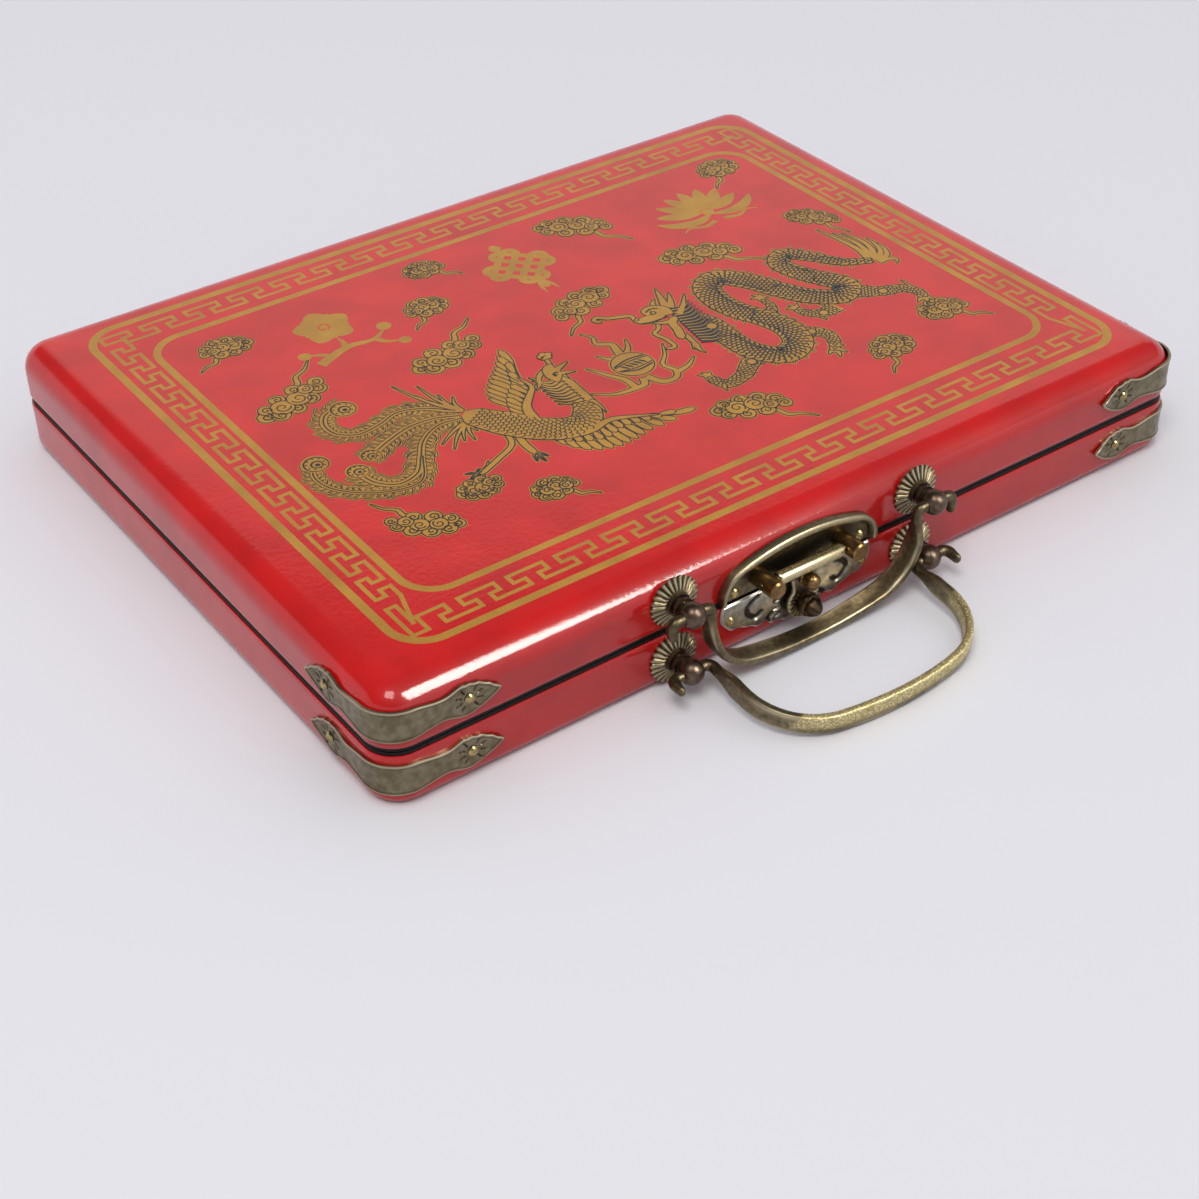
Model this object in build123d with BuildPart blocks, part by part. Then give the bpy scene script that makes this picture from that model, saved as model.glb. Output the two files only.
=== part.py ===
"""Travel mahjong case: two shallow wooden halves covered in leatherette, with antique brass hardware.

The origin is the centre of the underside. +X is to the right of someone facing the front,
-Y is the front with the handles and the latch, and +Z is up. All sizes are in millimetres.
"""

import os
from math import asin, atan2, cos, degrees, radians, sin, sqrt

from build123d import *

# --- Case -----------------------------------------------------------------
case_length = 240.0  # along X
case_depth = 182.0  # along Y
half_height = 15.0  # each half, up to its rim
parting_gap = 0.3  # between the two rims
corner_radius = 8.0  # upright corners, in plan
least_corner_radius = 1.0  # of an outline drawn far in
lid_edge_radius = 7.0  # round edge of the lid's top
base_edge_radius = 3.0  # round edge of the underside
wrap_thickness = 0.5  # leatherette
frame_thickness = 3.5  # wooden side walls
board_thickness = 2.5  # lid top and base floor
rim_height = 1.0  # black edging at the parting line
rim_setback = 0.4  # the edging stands back from the leatherette
turned_under = 9.0  # leatherette folded onto the underside
lining_thickness = 0.8

# --- Dividers -------------------------------------------------------------
divider_thickness = 2.0
divider_top_clearance = 0.4  # below the base rim
long_divider_y = 26.0
cross_divider_x = 34.0
divider_play = 0.1  # each side in the half-lap, and at each end

# --- Bail handles and their posts -----------------------------------------
hardware_offset = -8.5  # the handles and the latch sit left of the middle
post_spacing = 72.0
post_from_parting = 8.0  # height of the posts above and below the parting line
post_shank_radius = 1.5
post_collar_radius = 2.9
post_collar_width = 1.0
post_neck_radius = 2.0
post_neck_width = 0.8
post_ring_radius = 2.6
post_ring_width = 0.8
post_ball_radius = 3.1
eye_out = 7.0  # distance of the ball's centre from the case
rosette_radius = 6.5
rosette_thickness = 1.6
rosette_rim_thickness = 0.6
rosette_petals = 24
rosette_shoulder = (0.72, 0.85)  # the dome's fullest place, as shares of its radius and thickness
petal_notch_radius = 0.45
washer_radius = 3.2
washer_thickness = 0.6
nut_across_flats = 5.5
nut_thickness = 2.4
wire_radius = 1.4
wire_play = 0.08  # radial, between the wire and its eye
wire_reach_out = 5.6  # from the ball's centre to the hooked end
wire_reach_in = 5.2  # from the ball's centre to the leg
wire_hook_length = 5.2
wire_bend_radius = 1.7
strip_thickness = 2.2
strip_width = 5.6
strip_taper_length = 10.0  # from the wire's width to the full width
lid_bail_depth = 21.4  # from the eyes to the middle of the grip
lid_bail_corner_radius = 14.0
base_bail_depth = 31.0
base_bail_corner_radius = 17.0
grip_arc_radius = 90.0
floor_clearance = 0.15  # under the base handle, which lies forward

# --- Corner straps --------------------------------------------------------
strap_thickness = 0.8
strap_from_parting = 7.3
strap_corner_width = 7.6
strap_neck_width = 6.0
strap_leaf_width = 8.6
strap_shoulder_width = 6.4
strap_neck_reach = 15.5  # the reaches are measured from the corner's two flat faces
strap_leaf_reach = 20.5
strap_shoulder_reach = 25.0
strap_pin_reach = 21.5
strap_tip_reach = 29.2

# --- Pins and nails -------------------------------------------------------
pin_shank_radius = 0.6
pin_shank_depth = 3.0  # into the wall
pin_head_radius = 1.3
pin_head_height = 0.7

# --- Latch ----------------------------------------------------------------
latch_plate_thickness = 0.8
upper_plate_half_length = 23.2
upper_plate_height = 11.6
upper_plate_lift = 0.4  # its straight edge above the lid's rim
upper_plate_rim_width = 2.6
upper_plate_rim_height = 2.4
upper_plate_end_rim_width = 1.7  # the raised rim narrows towards the ends
crown_shoulder = (0.765, 0.75)  # where the long arc meets the end arc, as shares of the outline
upper_pin_reach = 18.8
upper_pin_lift = 2.2  # above the lid's rim
lower_plate_half_length = 22.6
lower_plate_height = 12.4
curl_slot_width = 1.1
# shares of the lower plate's half length and height
lower_plate_top_reach = 0.97
lower_plate_edge = [(1, 0.18), (0.93, 0.55), (0.74, 0.66), (0.5, 0.8), (0.22, 0.95), (0, 1)]
curl_points = [(0.6, 0.15), (0.7, 0.35), (0.62, 0.52)]
lower_plate_drop = 0.4  # its straight edge below the base's rim
lower_pin_reach = 19.8
lower_pin_drop = 5.2  # below the base's rim
latch_post_reach = 12.3
latch_post_lift = 4.3  # above the lid's rim
latch_post_radius = 2.3
latch_post_length = 8.5
latch_post_chamfer = 0.4
latch_rivet_radius = 1.2
rod_out = 4.5  # distance of the rod's axis from the case
rod_radius = 1.0
barrel_radius = 1.7
barrel_play = 0.08  # radial, between the barrel and the rod
barrel_end_clearance = 0.4
tongue_thickness = 0.9
tongue_out = 2.45  # distance of its back from the case
tongue_head_drop = 11.2  # from the rod to the round end
tongue_head_radius = 4.6
tongue_tip_drop = 15.9
tongue_waist_half_width = 3.2
tongue_waist_drop = 6.6
tongue_shoulder = (0.5, 0.42)  # shares of the barrel's half length and the waist's drop
tongue_knob_drop = 4.2
tongue_knob_radius = 1.9
tongue_knob_length = 4.2
tongue_knob_dome_height = 1.4
acorn_radius = 3.0
acorn_length = 5.0
acorn_stem_radius = 1.9
acorn_stem_length = 0.9
acorn_cup_share = 0.36  # of the acorn's length
# the nut's outline beyond its cup, as shares of the acorn's radius and length
acorn_nut = [(0.84, 0.36), (0.72, 0.68), (0.3, 0.9), (0, 1)]
knob_rivet_radius = 0.9

# --- Hinges ---------------------------------------------------------------
hinge_spacing = 140.0
hinge_length = 26.0
hinge_leaf_height = 11.0
hinge_leaf_thickness = 0.9
hinge_knuckle_radius = 1.7
hinge_pin_radius = 0.9
hinge_pin_play = 0.05  # radial, in the knuckles of the base's leaf
hinge_axis_out = 1.9  # from the back of the case
hinge_knuckles = 5
knuckle_clearance = 0.3
hinge_nail_pitch = 9.0
hinge_nail_drop = 6.5  # from the hinge axis

# --- Worked out -----------------------------------------------------------
base_top = half_height
lid_bottom = half_height + parting_gap
lid_top = lid_bottom + half_height
parting_z = half_height + parting_gap / 2
wall = wrap_thickness + frame_thickness
front_y = -case_depth / 2
back_y = case_depth / 2
base_floor_top = wrap_thickness + board_thickness
lid_board_under = lid_top - wrap_thickness - board_thickness
rod_z = lid_bottom + latch_post_lift
post_x = [hardware_offset - post_spacing / 2, hardware_offset + post_spacing / 2]
lid_post_z = parting_z + post_from_parting
base_post_z = parting_z - post_from_parting
post_shank_depth = wall + washer_thickness + nut_thickness + 0.5
hinge_x = [-hinge_spacing / 2, hinge_spacing / 2]
hinge_axis_y = back_y + hinge_axis_out

# the wall planes: sketch x runs along the wall, sketch y is world Z, and the normal points outwards
front_plane = Plane(origin=(0, front_y, 0), x_dir=(1, 0, 0), z_dir=(0, -1, 0))
back_plane = Plane(origin=(0, back_y, 0), x_dir=(-1, 0, 0), z_dir=(0, 1, 0))
left_plane = Plane(origin=(-case_length / 2, 0, 0), x_dir=(0, -1, 0), z_dir=(-1, 0, 0))
right_plane = Plane(origin=(case_length / 2, 0, 0), x_dir=(0, 1, 0), z_dir=(1, 0, 0))

os.makedirs("parts", exist_ok=True)


def save(part, label):
    """Label a finished piece and write its STEP file."""
    part.label = label
    export_step(part, f"parts/{label}.step")


def plan(inset, mode=Mode.ADD):
    """The case's outline in plan, drawn in from the outer faces."""
    length = case_length - 2 * inset
    depth = case_depth - 2 * inset
    RectangleRounded(length, depth, max(corner_radius - inset, least_corner_radius), mode=mode)


# --- Fastener places, as (x along the wall, z) on each wall plane ---------
def strap_pin_points(z):
    """Pins of the two front corner straps: on the front, the left and the right wall."""
    along_front = case_length / 2 - strap_pin_reach
    along_side = case_depth / 2 - strap_pin_reach
    return {
        "front": [(-along_front, z), (along_front, z)],
        "left": [(along_side, z)],
        "right": [(-along_side, z)],
    }


lid_strap_z = parting_z + strap_from_parting
base_strap_z = parting_z - strap_from_parting
lid_strap_pins = strap_pin_points(lid_strap_z)
base_strap_pins = strap_pin_points(base_strap_z)
upper_pin_points = [
    (hardware_offset + side * upper_pin_reach, lid_bottom + upper_pin_lift) for side in (-1, 1)
]
lower_pin_points = [
    (hardware_offset + side * lower_pin_reach, base_top - lower_pin_drop) for side in (-1, 1)
]
lid_post_points = [(x, lid_post_z) for x in post_x]
base_post_points = [(x, base_post_z) for x in post_x]
latch_post_points = [(hardware_offset + side * latch_post_reach, rod_z) for side in (-1, 1)]


def hinge_nail_points(z):
    """Three nails for each hinge leaf, on the back wall."""
    return [(-x + step * hinge_nail_pitch, z) for x in hinge_x for step in (-1, 0, 1)]


lid_nail_points = hinge_nail_points(parting_z + hinge_nail_drop)
base_nail_points = hinge_nail_points(parting_z - hinge_nail_drop)


def rods(plane, points, radius, start, end):
    """Round rods square to a wall, from start to end, measured outwards from the wall."""
    with BuildSketch(plane.offset(start)) as ends:
        with Locations(*points):
            Circle(radius)
    extrude(ends.sketch, amount=end - start)


def shanks(strap_pins, plate_pins, nails, posts):
    """Every shank that goes into one half, as loose rods for cutting its holes."""
    proud = rosette_thickness
    rods(front_plane, strap_pins["front"] + plate_pins, pin_shank_radius, -pin_shank_depth, proud)
    rods(left_plane, strap_pins["left"], pin_shank_radius, -pin_shank_depth, proud)
    rods(right_plane, strap_pins["right"], pin_shank_radius, -pin_shank_depth, proud)
    rods(back_plane, nails, pin_shank_radius, -pin_shank_depth, proud)
    rods(front_plane, posts, post_shank_radius, -post_shank_depth, proud)


with BuildPart() as lid_shanks:
    shanks(lid_strap_pins, upper_pin_points, lid_nail_points, lid_post_points)
    rods(front_plane, latch_post_points, latch_rivet_radius, -wall, rosette_thickness)

with BuildPart() as base_shanks:
    shanks(base_strap_pins, lower_pin_points, base_nail_points, base_post_points)


# --- Lid carcass ----------------------------------------------------------
def lid_block(inset, bottom):
    """The lid's outer form drawn in by inset: upright sides and a round top edge."""
    with BuildSketch(Plane.XY.offset(bottom)) as outline:
        plan(inset)
    extrude(outline.sketch, amount=lid_top - inset - bottom)
    fillet(edges().group_by(Axis.Z)[-1], lid_edge_radius - inset)


with BuildPart() as lid_core:
    lid_block(wrap_thickness, lid_bottom + rim_height)

with BuildPart() as lid_wrap:
    lid_block(0, lid_bottom + rim_height)
    add(lid_core.part, mode=Mode.SUBTRACT)
    add(lid_shanks.part, mode=Mode.SUBTRACT)
save(lid_wrap.part, "lid_leatherette")

with BuildPart() as lid_board:
    add(lid_core.part)
    split(bisect_by=Plane.XY.offset(lid_board_under), keep=Keep.TOP)
    add(lid_shanks.part, mode=Mode.SUBTRACT)
save(lid_board.part, "lid_top_board")

with BuildPart() as lid_frame:
    add(lid_core.part)
    split(bisect_by=Plane.XY.offset(lid_board_under), keep=Keep.BOTTOM)
    with BuildSketch(Plane.XY.offset(lid_bottom)):
        plan(wall)
    extrude(amount=half_height, mode=Mode.SUBTRACT)
    add(lid_shanks.part, mode=Mode.SUBTRACT)
save(lid_frame.part, "lid_side_frame")

with BuildPart() as lid_rim:
    with BuildSketch(Plane.XY.offset(lid_bottom)):
        plan(rim_setback)
        plan(wall, mode=Mode.SUBTRACT)
    extrude(amount=rim_height)
save(lid_rim.part, "lid_rim_edging")

with BuildPart() as lid_lining:
    with BuildSketch(Plane.XY.offset(lid_board_under - lining_thickness)):
        plan(wall)
    extrude(amount=lining_thickness)
save(lid_lining.part, "lid_lining")

# --- Base carcass ---------------------------------------------------------
base_block_top = base_top - rim_height


def base_block(inset):
    """The base's outer form drawn in by inset: upright sides and a small round bottom edge."""
    with BuildSketch(Plane.XY.offset(inset)) as outline:
        plan(inset)
    extrude(outline.sketch, amount=base_block_top - inset)
    fillet(edges().group_by(Axis.Z)[0], base_edge_radius - inset)


with BuildPart() as base_core:
    base_block(wrap_thickness)

with BuildPart() as base_wrap:
    base_block(0)
    add(base_core.part, mode=Mode.SUBTRACT)
    with BuildSketch(Plane.XY):
        plan(turned_under)
    extrude(amount=wrap_thickness, mode=Mode.SUBTRACT)
    add(base_shanks.part, mode=Mode.SUBTRACT)
save(base_wrap.part, "base_leatherette")

with BuildPart() as underside_sheet:
    with BuildSketch(Plane.XY):
        plan(turned_under)
    extrude(amount=wrap_thickness)
save(underside_sheet.part, "underside_sheet")

with BuildPart() as base_board:
    add(base_core.part)
    split(bisect_by=Plane.XY.offset(base_floor_top), keep=Keep.BOTTOM)
    add(base_shanks.part, mode=Mode.SUBTRACT)
save(base_board.part, "base_floor_board")

with BuildPart() as base_frame:
    add(base_core.part)
    split(bisect_by=Plane.XY.offset(base_floor_top), keep=Keep.TOP)
    with BuildSketch(Plane.XY.offset(base_floor_top)):
        plan(wall)
    extrude(amount=half_height, mode=Mode.SUBTRACT)
    add(base_shanks.part, mode=Mode.SUBTRACT)
save(base_frame.part, "base_side_frame")

with BuildPart() as base_rim:
    with BuildSketch(Plane.XY.offset(base_block_top)):
        plan(rim_setback)
        plan(wall, mode=Mode.SUBTRACT)
    extrude(amount=rim_height)
save(base_rim.part, "base_rim_edging")

with BuildPart() as base_lining:
    with BuildSketch(Plane.XY.offset(base_floor_top)):
        plan(wall)
    extrude(amount=lining_thickness)
save(base_lining.part, "base_lining")

# --- Dividers: two boards that cross in half-laps -------------------------
tray_floor = base_floor_top + lining_thickness
divider_height = base_top - divider_top_clearance - tray_floor
tray_length = case_length - 2 * wall
tray_depth = case_depth - 2 * wall

with BuildPart() as long_divider:
    with BuildSketch(Plane.XY.offset(tray_floor)):
        with Locations((0, long_divider_y)):
            Rectangle(tray_length - 2 * divider_play, divider_thickness)
    extrude(amount=divider_height)
    with BuildSketch(Plane.XY.offset(tray_floor + divider_height / 2)):
        with Locations((cross_divider_x, long_divider_y)):
            Rectangle(divider_thickness + 2 * divider_play, divider_thickness)
    extrude(amount=divider_height, mode=Mode.SUBTRACT)
save(long_divider.part, "long_divider")

with BuildPart() as cross_divider:
    with BuildSketch(Plane.XY.offset(tray_floor)):
        with Locations((cross_divider_x, 0)):
            Rectangle(divider_thickness, tray_depth - 2 * divider_play)
    extrude(amount=divider_height)
    with BuildSketch(Plane.XY.offset(tray_floor)):
        with Locations((cross_divider_x, long_divider_y)):
            Rectangle(divider_thickness, divider_thickness + 2 * divider_play)
    extrude(amount=divider_height / 2, mode=Mode.SUBTRACT)
save(cross_divider.part, "cross_divider")


# --- Corner straps --------------------------------------------------------
def strap_leaf(origin_plane, corner, inwards, z):
    """One leaf of a strap on a wall: from the corner's end along the wall to the pointed tip.

    corner is the sketch x of the wall's virtual end, inwards is +1 or -1 along the wall.
    """
    def at(reach, rise):
        return (corner + inwards * reach, z + rise)

    with BuildSketch(origin_plane) as leaf:
        with BuildLine():
            for edge in (0.5, -0.5):
                Spline(
                    at(corner_radius, edge * strap_corner_width),
                    at(strap_neck_reach, edge * strap_neck_width),
                    at(strap_leaf_reach, edge * strap_leaf_width),
                    at(strap_shoulder_reach, edge * strap_shoulder_width),
                    at(strap_tip_reach, 0),
                )
            Line(at(corner_radius, strap_corner_width / 2), at(corner_radius, -strap_corner_width / 2))
        make_face()
    extrude(leaf.sketch, amount=strap_thickness)


def corner_strap(side, z, holes):
    """A strap round one front corner; side is -1 at the left and +1 at the right."""
    strap_leaf(front_plane, side * case_length / 2, -side, z)
    if side < 0:
        strap_leaf(left_plane, case_depth / 2, -1, z)
    else:
        strap_leaf(right_plane, -case_depth / 2, 1, z)
    centre = (side * (case_length / 2 - corner_radius), front_y + corner_radius)
    with BuildSketch(Plane.XY.offset(z - strap_corner_width / 2)) as bend:
        with Locations(centre):
            Circle(corner_radius + strap_thickness)
            Circle(corner_radius, mode=Mode.SUBTRACT)
        with Locations((centre[0] + side * case_length / 2, centre[1] - case_length / 2)):
            Rectangle(case_length, case_length, mode=Mode.INTERSECT)
    extrude(bend.sketch, amount=strap_corner_width)
    add(holes, mode=Mode.SUBTRACT)


for half, strap_z, holes in (
    ("lid", lid_strap_z, lid_shanks.part),
    ("base", base_strap_z, base_shanks.part),
):
    for side_name, side in (("left", -1), ("right", 1)):
        with BuildPart() as strap:
            corner_strap(side, strap_z, holes)
        save(strap.part, f"{half}_corner_strap_{side_name}")


# --- Pins and nails -------------------------------------------------------
def sphere_radius(radius, height):
    """The radius of the sphere whose cap has this radius and height."""
    return (radius**2 + height**2) / (2 * height)


def domed_pins(plane, points, plate_thickness):
    """Small nails through a plate: a shank in the wall and a domed head on the plate."""
    head_sphere = sphere_radius(pin_head_radius, pin_head_height)
    for x, z in points:
        foot = Plane(
            origin=plane.from_local_coords(Vector(x, z, 0)), x_dir=plane.x_dir, z_dir=plane.z_dir
        )
        with BuildSketch(Plane(origin=foot.origin, x_dir=foot.x_dir, z_dir=-foot.y_dir)) as pin:
            with BuildLine():
                Polyline(
                    (0, -pin_shank_depth),
                    (pin_shank_radius, -pin_shank_depth),
                    (pin_shank_radius, plate_thickness),
                    (pin_head_radius, plate_thickness),
                )
                RadiusArc(
                    (pin_head_radius, plate_thickness),
                    (0, plate_thickness + pin_head_height),
                    -head_sphere,
                )
                Line((0, plate_thickness + pin_head_height), (0, -pin_shank_depth))
            make_face()
        revolve(pin.sketch, axis=Axis(foot.origin, foot.z_dir))


for half, strap_pins, nails, plate_pins, plate_name in (
    ("lid", lid_strap_pins, lid_nail_points, upper_pin_points, "latch_upper_pins"),
    ("base", base_strap_pins, base_nail_points, lower_pin_points, "latch_lower_pins"),
):
    with BuildPart() as pins:
        domed_pins(front_plane, strap_pins["front"], strap_thickness)
        domed_pins(left_plane, strap_pins["left"], strap_thickness)
        domed_pins(right_plane, strap_pins["right"], strap_thickness)
    save(pins.part, f"{half}_strap_pins")
    with BuildPart() as plate_nails:
        domed_pins(front_plane, plate_pins, latch_plate_thickness)
    save(plate_nails.part, plate_name)
    with BuildPart() as leaf_nails:
        domed_pins(back_plane, nails, hinge_leaf_thickness)
    save(leaf_nails.part, f"{half}_hinge_nails")


# --- Handle posts, rosettes, washers and nuts -----------------------------
def outwards(x, z):
    """A plane on the front wall at (x, z) for turned profiles: y is the distance outwards."""
    return Plane(origin=(x, front_y, z), x_dir=(1, 0, 0), z_dir=(0, 0, 1)).rotated((0, 0, 180))


def turned_axis(x, z):
    return Axis((x, front_y, z), (0, -1, 0))


def rosette(x, z):
    """A stamped daisy: a low dome with a thin notched rim, bored for the post."""
    with BuildSketch(outwards(x, z)) as dome:
        with BuildLine():
            Polyline((0, rosette_thickness), (0, 0), (rosette_radius, 0))
            Line((rosette_radius, 0), (rosette_radius, rosette_rim_thickness))
            Spline(
                (rosette_radius, rosette_rim_thickness),
                (rosette_radius * rosette_shoulder[0], rosette_thickness * rosette_shoulder[1]),
                (post_collar_radius, rosette_thickness),
            )
            Line((post_collar_radius, rosette_thickness), (0, rosette_thickness))
        make_face()
    revolve(dome.sketch, axis=turned_axis(x, z))
    rim_plane = Plane(origin=(x, front_y, z), x_dir=(1, 0, 0), z_dir=(0, -1, 0))
    with BuildSketch(rim_plane) as notches:
        with PolarLocations(rosette_radius + petal_notch_radius / 2, rosette_petals):
            Circle(petal_notch_radius)
    extrude(notches.sketch, amount=rosette_thickness, mode=Mode.SUBTRACT)


def handle_post(x, z):
    """A turned post: shank, collar, neck, ring and a ball with a cross hole for the wire."""
    seat = rosette_thickness
    neck_start = seat + post_collar_width
    ring_start = neck_start + post_neck_width
    ring_end = ring_start + post_ring_width
    ball_start = eye_out - sqrt(post_ball_radius**2 - post_neck_radius**2)
    with BuildSketch(outwards(x, z)) as profile:
        with BuildLine():
            Polyline(
                (0, -post_shank_depth),
                (post_shank_radius, -post_shank_depth),
                (post_shank_radius, seat),
                (post_collar_radius, seat),
                (post_collar_radius, neck_start),
                (post_neck_radius, neck_start),
                (post_neck_radius, ring_start),
                (post_ring_radius, ring_start),
                (post_ring_radius, ring_end),
                (post_neck_radius, ring_end),
                (post_neck_radius, ball_start),
            )
            ThreePointArc(
                (post_neck_radius, ball_start),
                (post_ball_radius, eye_out),
                (0, eye_out + post_ball_radius),
            )
            Line((0, eye_out + post_ball_radius), (0, -post_shank_depth))
        make_face()
    revolve(profile.sketch, axis=turned_axis(x, z))
    with BuildSketch(Plane.YZ.offset(x - post_ball_radius)) as eye:
        with Locations((front_y - eye_out, z)):
            Circle(wire_radius + wire_play)
    extrude(eye.sketch, amount=2 * post_ball_radius, mode=Mode.SUBTRACT)


inner_wall = front_plane.offset(-wall)

for half, points, holes in (
    ("lid", lid_post_points, lid_shanks.part),
    ("base", base_post_points, base_shanks.part),
):
    for side_name, (x, z) in zip(("left", "right"), points):
        with BuildPart() as daisy:
            rosette(x, z)
            add(holes, mode=Mode.SUBTRACT)
        save(daisy.part, f"{half}_rosette_{side_name}")
        with BuildPart() as post:
            handle_post(x, z)
        save(post.part, f"{half}_handle_post_{side_name}")
    with BuildPart() as washers:
        with BuildSketch(inner_wall):
            with Locations(*points):
                Circle(washer_radius)
                Circle(post_shank_radius, mode=Mode.SUBTRACT)
        extrude(amount=-washer_thickness)
    save(washers.part, f"{half}_handle_washers")
    with BuildPart() as nuts:
        with BuildSketch(inner_wall.offset(-washer_thickness)):
            with Locations(*points):
                RegularPolygon(nut_across_flats / 2, 6, major_radius=False)
                Circle(post_shank_radius, mode=Mode.SUBTRACT)
        extrude(amount=-nut_thickness)
    save(nuts.part, f"{half}_handle_nuts")


# --- Bail handles ---------------------------------------------------------
# drawn in a plane through the two eyes: x along the case, y away from the eyes
def bail_plane(eye_z, lean):
    """The plane of a handle that leans forward by lean degrees from hanging straight down."""
    away = Vector(0, -sin(radians(lean)), -cos(radians(lean)))
    along = Vector(1, 0, 0)
    return Plane(origin=(hardware_offset, front_y - eye_out, eye_z), x_dir=along, z_dir=along.cross(away))


def bail(plane, depth, corner_arc_radius):
    """A forged handle: round hooked wire ends through the eyes, and a flat strip for a grip.

    The strip runs down two straight legs, round two corner arcs and along a long shallow grip arc.
    """
    eye = post_spacing / 2
    leg = eye - wire_reach_in
    leg_start = strip_thickness
    grip_centre = depth - grip_arc_radius
    corner_x = leg - corner_arc_radius
    corner_rise = sqrt((grip_arc_radius - corner_arc_radius) ** 2 - corner_x**2)
    corner_centre = grip_centre + corner_rise
    turn = atan2(corner_x, corner_rise)
    grip_end = (grip_arc_radius * sin(turn), grip_centre + grip_arc_radius * cos(turn))
    with BuildSketch(plane) as strip:
        with BuildLine() as middle:
            ThreePointArc((-grip_end[0], grip_end[1]), (0, depth), grip_end)
            for side in (-1, 1):
                TangentArc(
                    (side * leg, corner_centre), (side * grip_end[0], grip_end[1]), tangent=(0, 1)
                )
                Line((side * leg, leg_start), (side * leg, corner_centre))
        trace(middle.line, line_width=strip_thickness)
    extrude(strip.sketch, amount=strip_width / 2, both=True)
    # the strip's width grows from the wire's to the full width down each leg
    side_plane = Plane(origin=plane.origin, x_dir=plane.y_dir, z_dir=plane.x_dir).offset(-eye)
    with BuildSketch(side_plane) as side_view:
        with BuildLine():
            Polyline(
                (-strip_width, -wire_radius),
                (leg_start, -wire_radius),
                (strip_taper_length, -strip_width / 2),
                (depth + strip_width, -strip_width / 2),
                (depth + strip_width, strip_width / 2),
                (strip_taper_length, strip_width / 2),
                (leg_start, wire_radius),
                (-strip_width, wire_radius),
                close=True,
            )
        make_face()
    extrude(side_view.sketch, amount=post_spacing, mode=Mode.INTERSECT)
    for side in (-1, 1):
        with BuildLine(plane) as wire_line:
            FilletPolyline(
                (side * (eye + wire_reach_out), wire_hook_length),
                (side * (eye + wire_reach_out), 0),
                (side * leg, 0),
                (side * leg, leg_start + wire_radius),
                radius=wire_bend_radius,
            )
        with BuildSketch(Plane(origin=wire_line.line @ 0, z_dir=wire_line.line % 0)) as wire_end:
            Circle(wire_radius)
        sweep(wire_end.sketch, path=wire_line.line)


# the base handle leans forward until its lower edge is just above the surface the case lies on
grip_reach = base_bail_depth + strip_thickness / 2
grip_swing = sqrt(grip_reach**2 + (strip_width / 2) ** 2)
base_bail_lean = 90 - degrees(asin((base_post_z - floor_clearance) / grip_swing))
base_bail_lean += degrees(asin(strip_width / 2 / grip_swing))

with BuildPart() as lid_bail:
    bail(bail_plane(lid_post_z, 0), lid_bail_depth, lid_bail_corner_radius)
save(lid_bail.part, "lid_handle_bail")

with BuildPart() as base_bail:
    bail(bail_plane(base_post_z, base_bail_lean), base_bail_depth, base_bail_corner_radius)
save(base_bail.part, "base_handle_bail")


# --- Latch plates ---------------------------------------------------------
def half_lens(end_inset, crown_inset):
    """The upper plate's outline: a straight lower edge, blunt ends and a long low crown."""
    length = upper_plate_half_length - end_inset
    height = upper_plate_height - crown_inset
    shoulder = (crown_shoulder[0] * length, crown_shoulder[1] * height)
    crown = ThreePointArc((-shoulder[0], shoulder[1]), (0, height), shoulder)
    TangentArc(shoulder, (length, 0), tangent=crown % 1)
    TangentArc((-shoulder[0], shoulder[1]), (-length, 0), tangent=-(crown % 0))
    Line((-length, 0), (length, 0))


def latch_plane(z):
    return Plane(origin=(hardware_offset, front_y, z), x_dir=(1, 0, 0), z_dir=(0, -1, 0))


with BuildPart() as upper_plate:
    plate_plane = latch_plane(lid_bottom + upper_plate_lift)
    with BuildSketch(plate_plane):
        with BuildLine():
            half_lens(0, 0)
        make_face()
    extrude(amount=latch_plate_thickness)
    with BuildSketch(plate_plane):
        with BuildLine():
            half_lens(0, 0)
        make_face()
        with BuildLine():
            half_lens(upper_plate_end_rim_width, upper_plate_rim_width)
        make_face(mode=Mode.SUBTRACT)
    extrude(amount=upper_plate_rim_height)
    add(lid_shanks.part, mode=Mode.SUBTRACT)
save(upper_plate.part, "latch_upper_plate")

def on_lower_plate(side, share):
    """A place on the lower plate's sketch from shares of its half length and height."""
    return (side * share[0] * lower_plate_half_length, -share[1] * lower_plate_height)


with BuildPart() as lower_plate:
    with BuildSketch(latch_plane(base_top - lower_plate_drop)):
        with BuildLine():
            top_ends = [on_lower_plate(side, (lower_plate_top_reach, 0)) for side in (-1, 1)]
            Line(*top_ends)
            for side, top_end in zip((-1, 1), top_ends):
                edge = [on_lower_plate(side, share) for share in lower_plate_edge]
                Line(top_end, edge[0])
                Spline(*edge)
        make_face()
        for side in (-1, 1):
            curl = ThreePointArc(
                *[on_lower_plate(side, share) for share in curl_points], mode=Mode.PRIVATE
            )
            SlotArc(curl, curl_slot_width, mode=Mode.SUBTRACT)
    extrude(amount=latch_plate_thickness)
    add(base_shanks.part, mode=Mode.SUBTRACT)
save(lower_plate.part, "latch_lower_plate")


# --- Latch posts, rod and tongue ------------------------------------------
def latch_post(x):
    """A plain turned post with a rivet through the wall and a cross hole for the rod."""
    post_foot = front_plane.offset(latch_plate_thickness)
    rods(post_foot, [(x, rod_z)], latch_post_radius, 0, latch_post_length - latch_plate_thickness)
    chamfer(edges().group_by(Axis.Y)[0], latch_post_chamfer)
    rods(front_plane, [(x, rod_z)], latch_rivet_radius, -wall, latch_plate_thickness)
    with BuildSketch(Plane.YZ.offset(x - latch_post_radius)) as rod_hole:
        with Locations((front_y - rod_out, rod_z)):
            Circle(rod_radius)
    extrude(rod_hole.sketch, amount=2 * latch_post_radius, mode=Mode.SUBTRACT)


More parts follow.
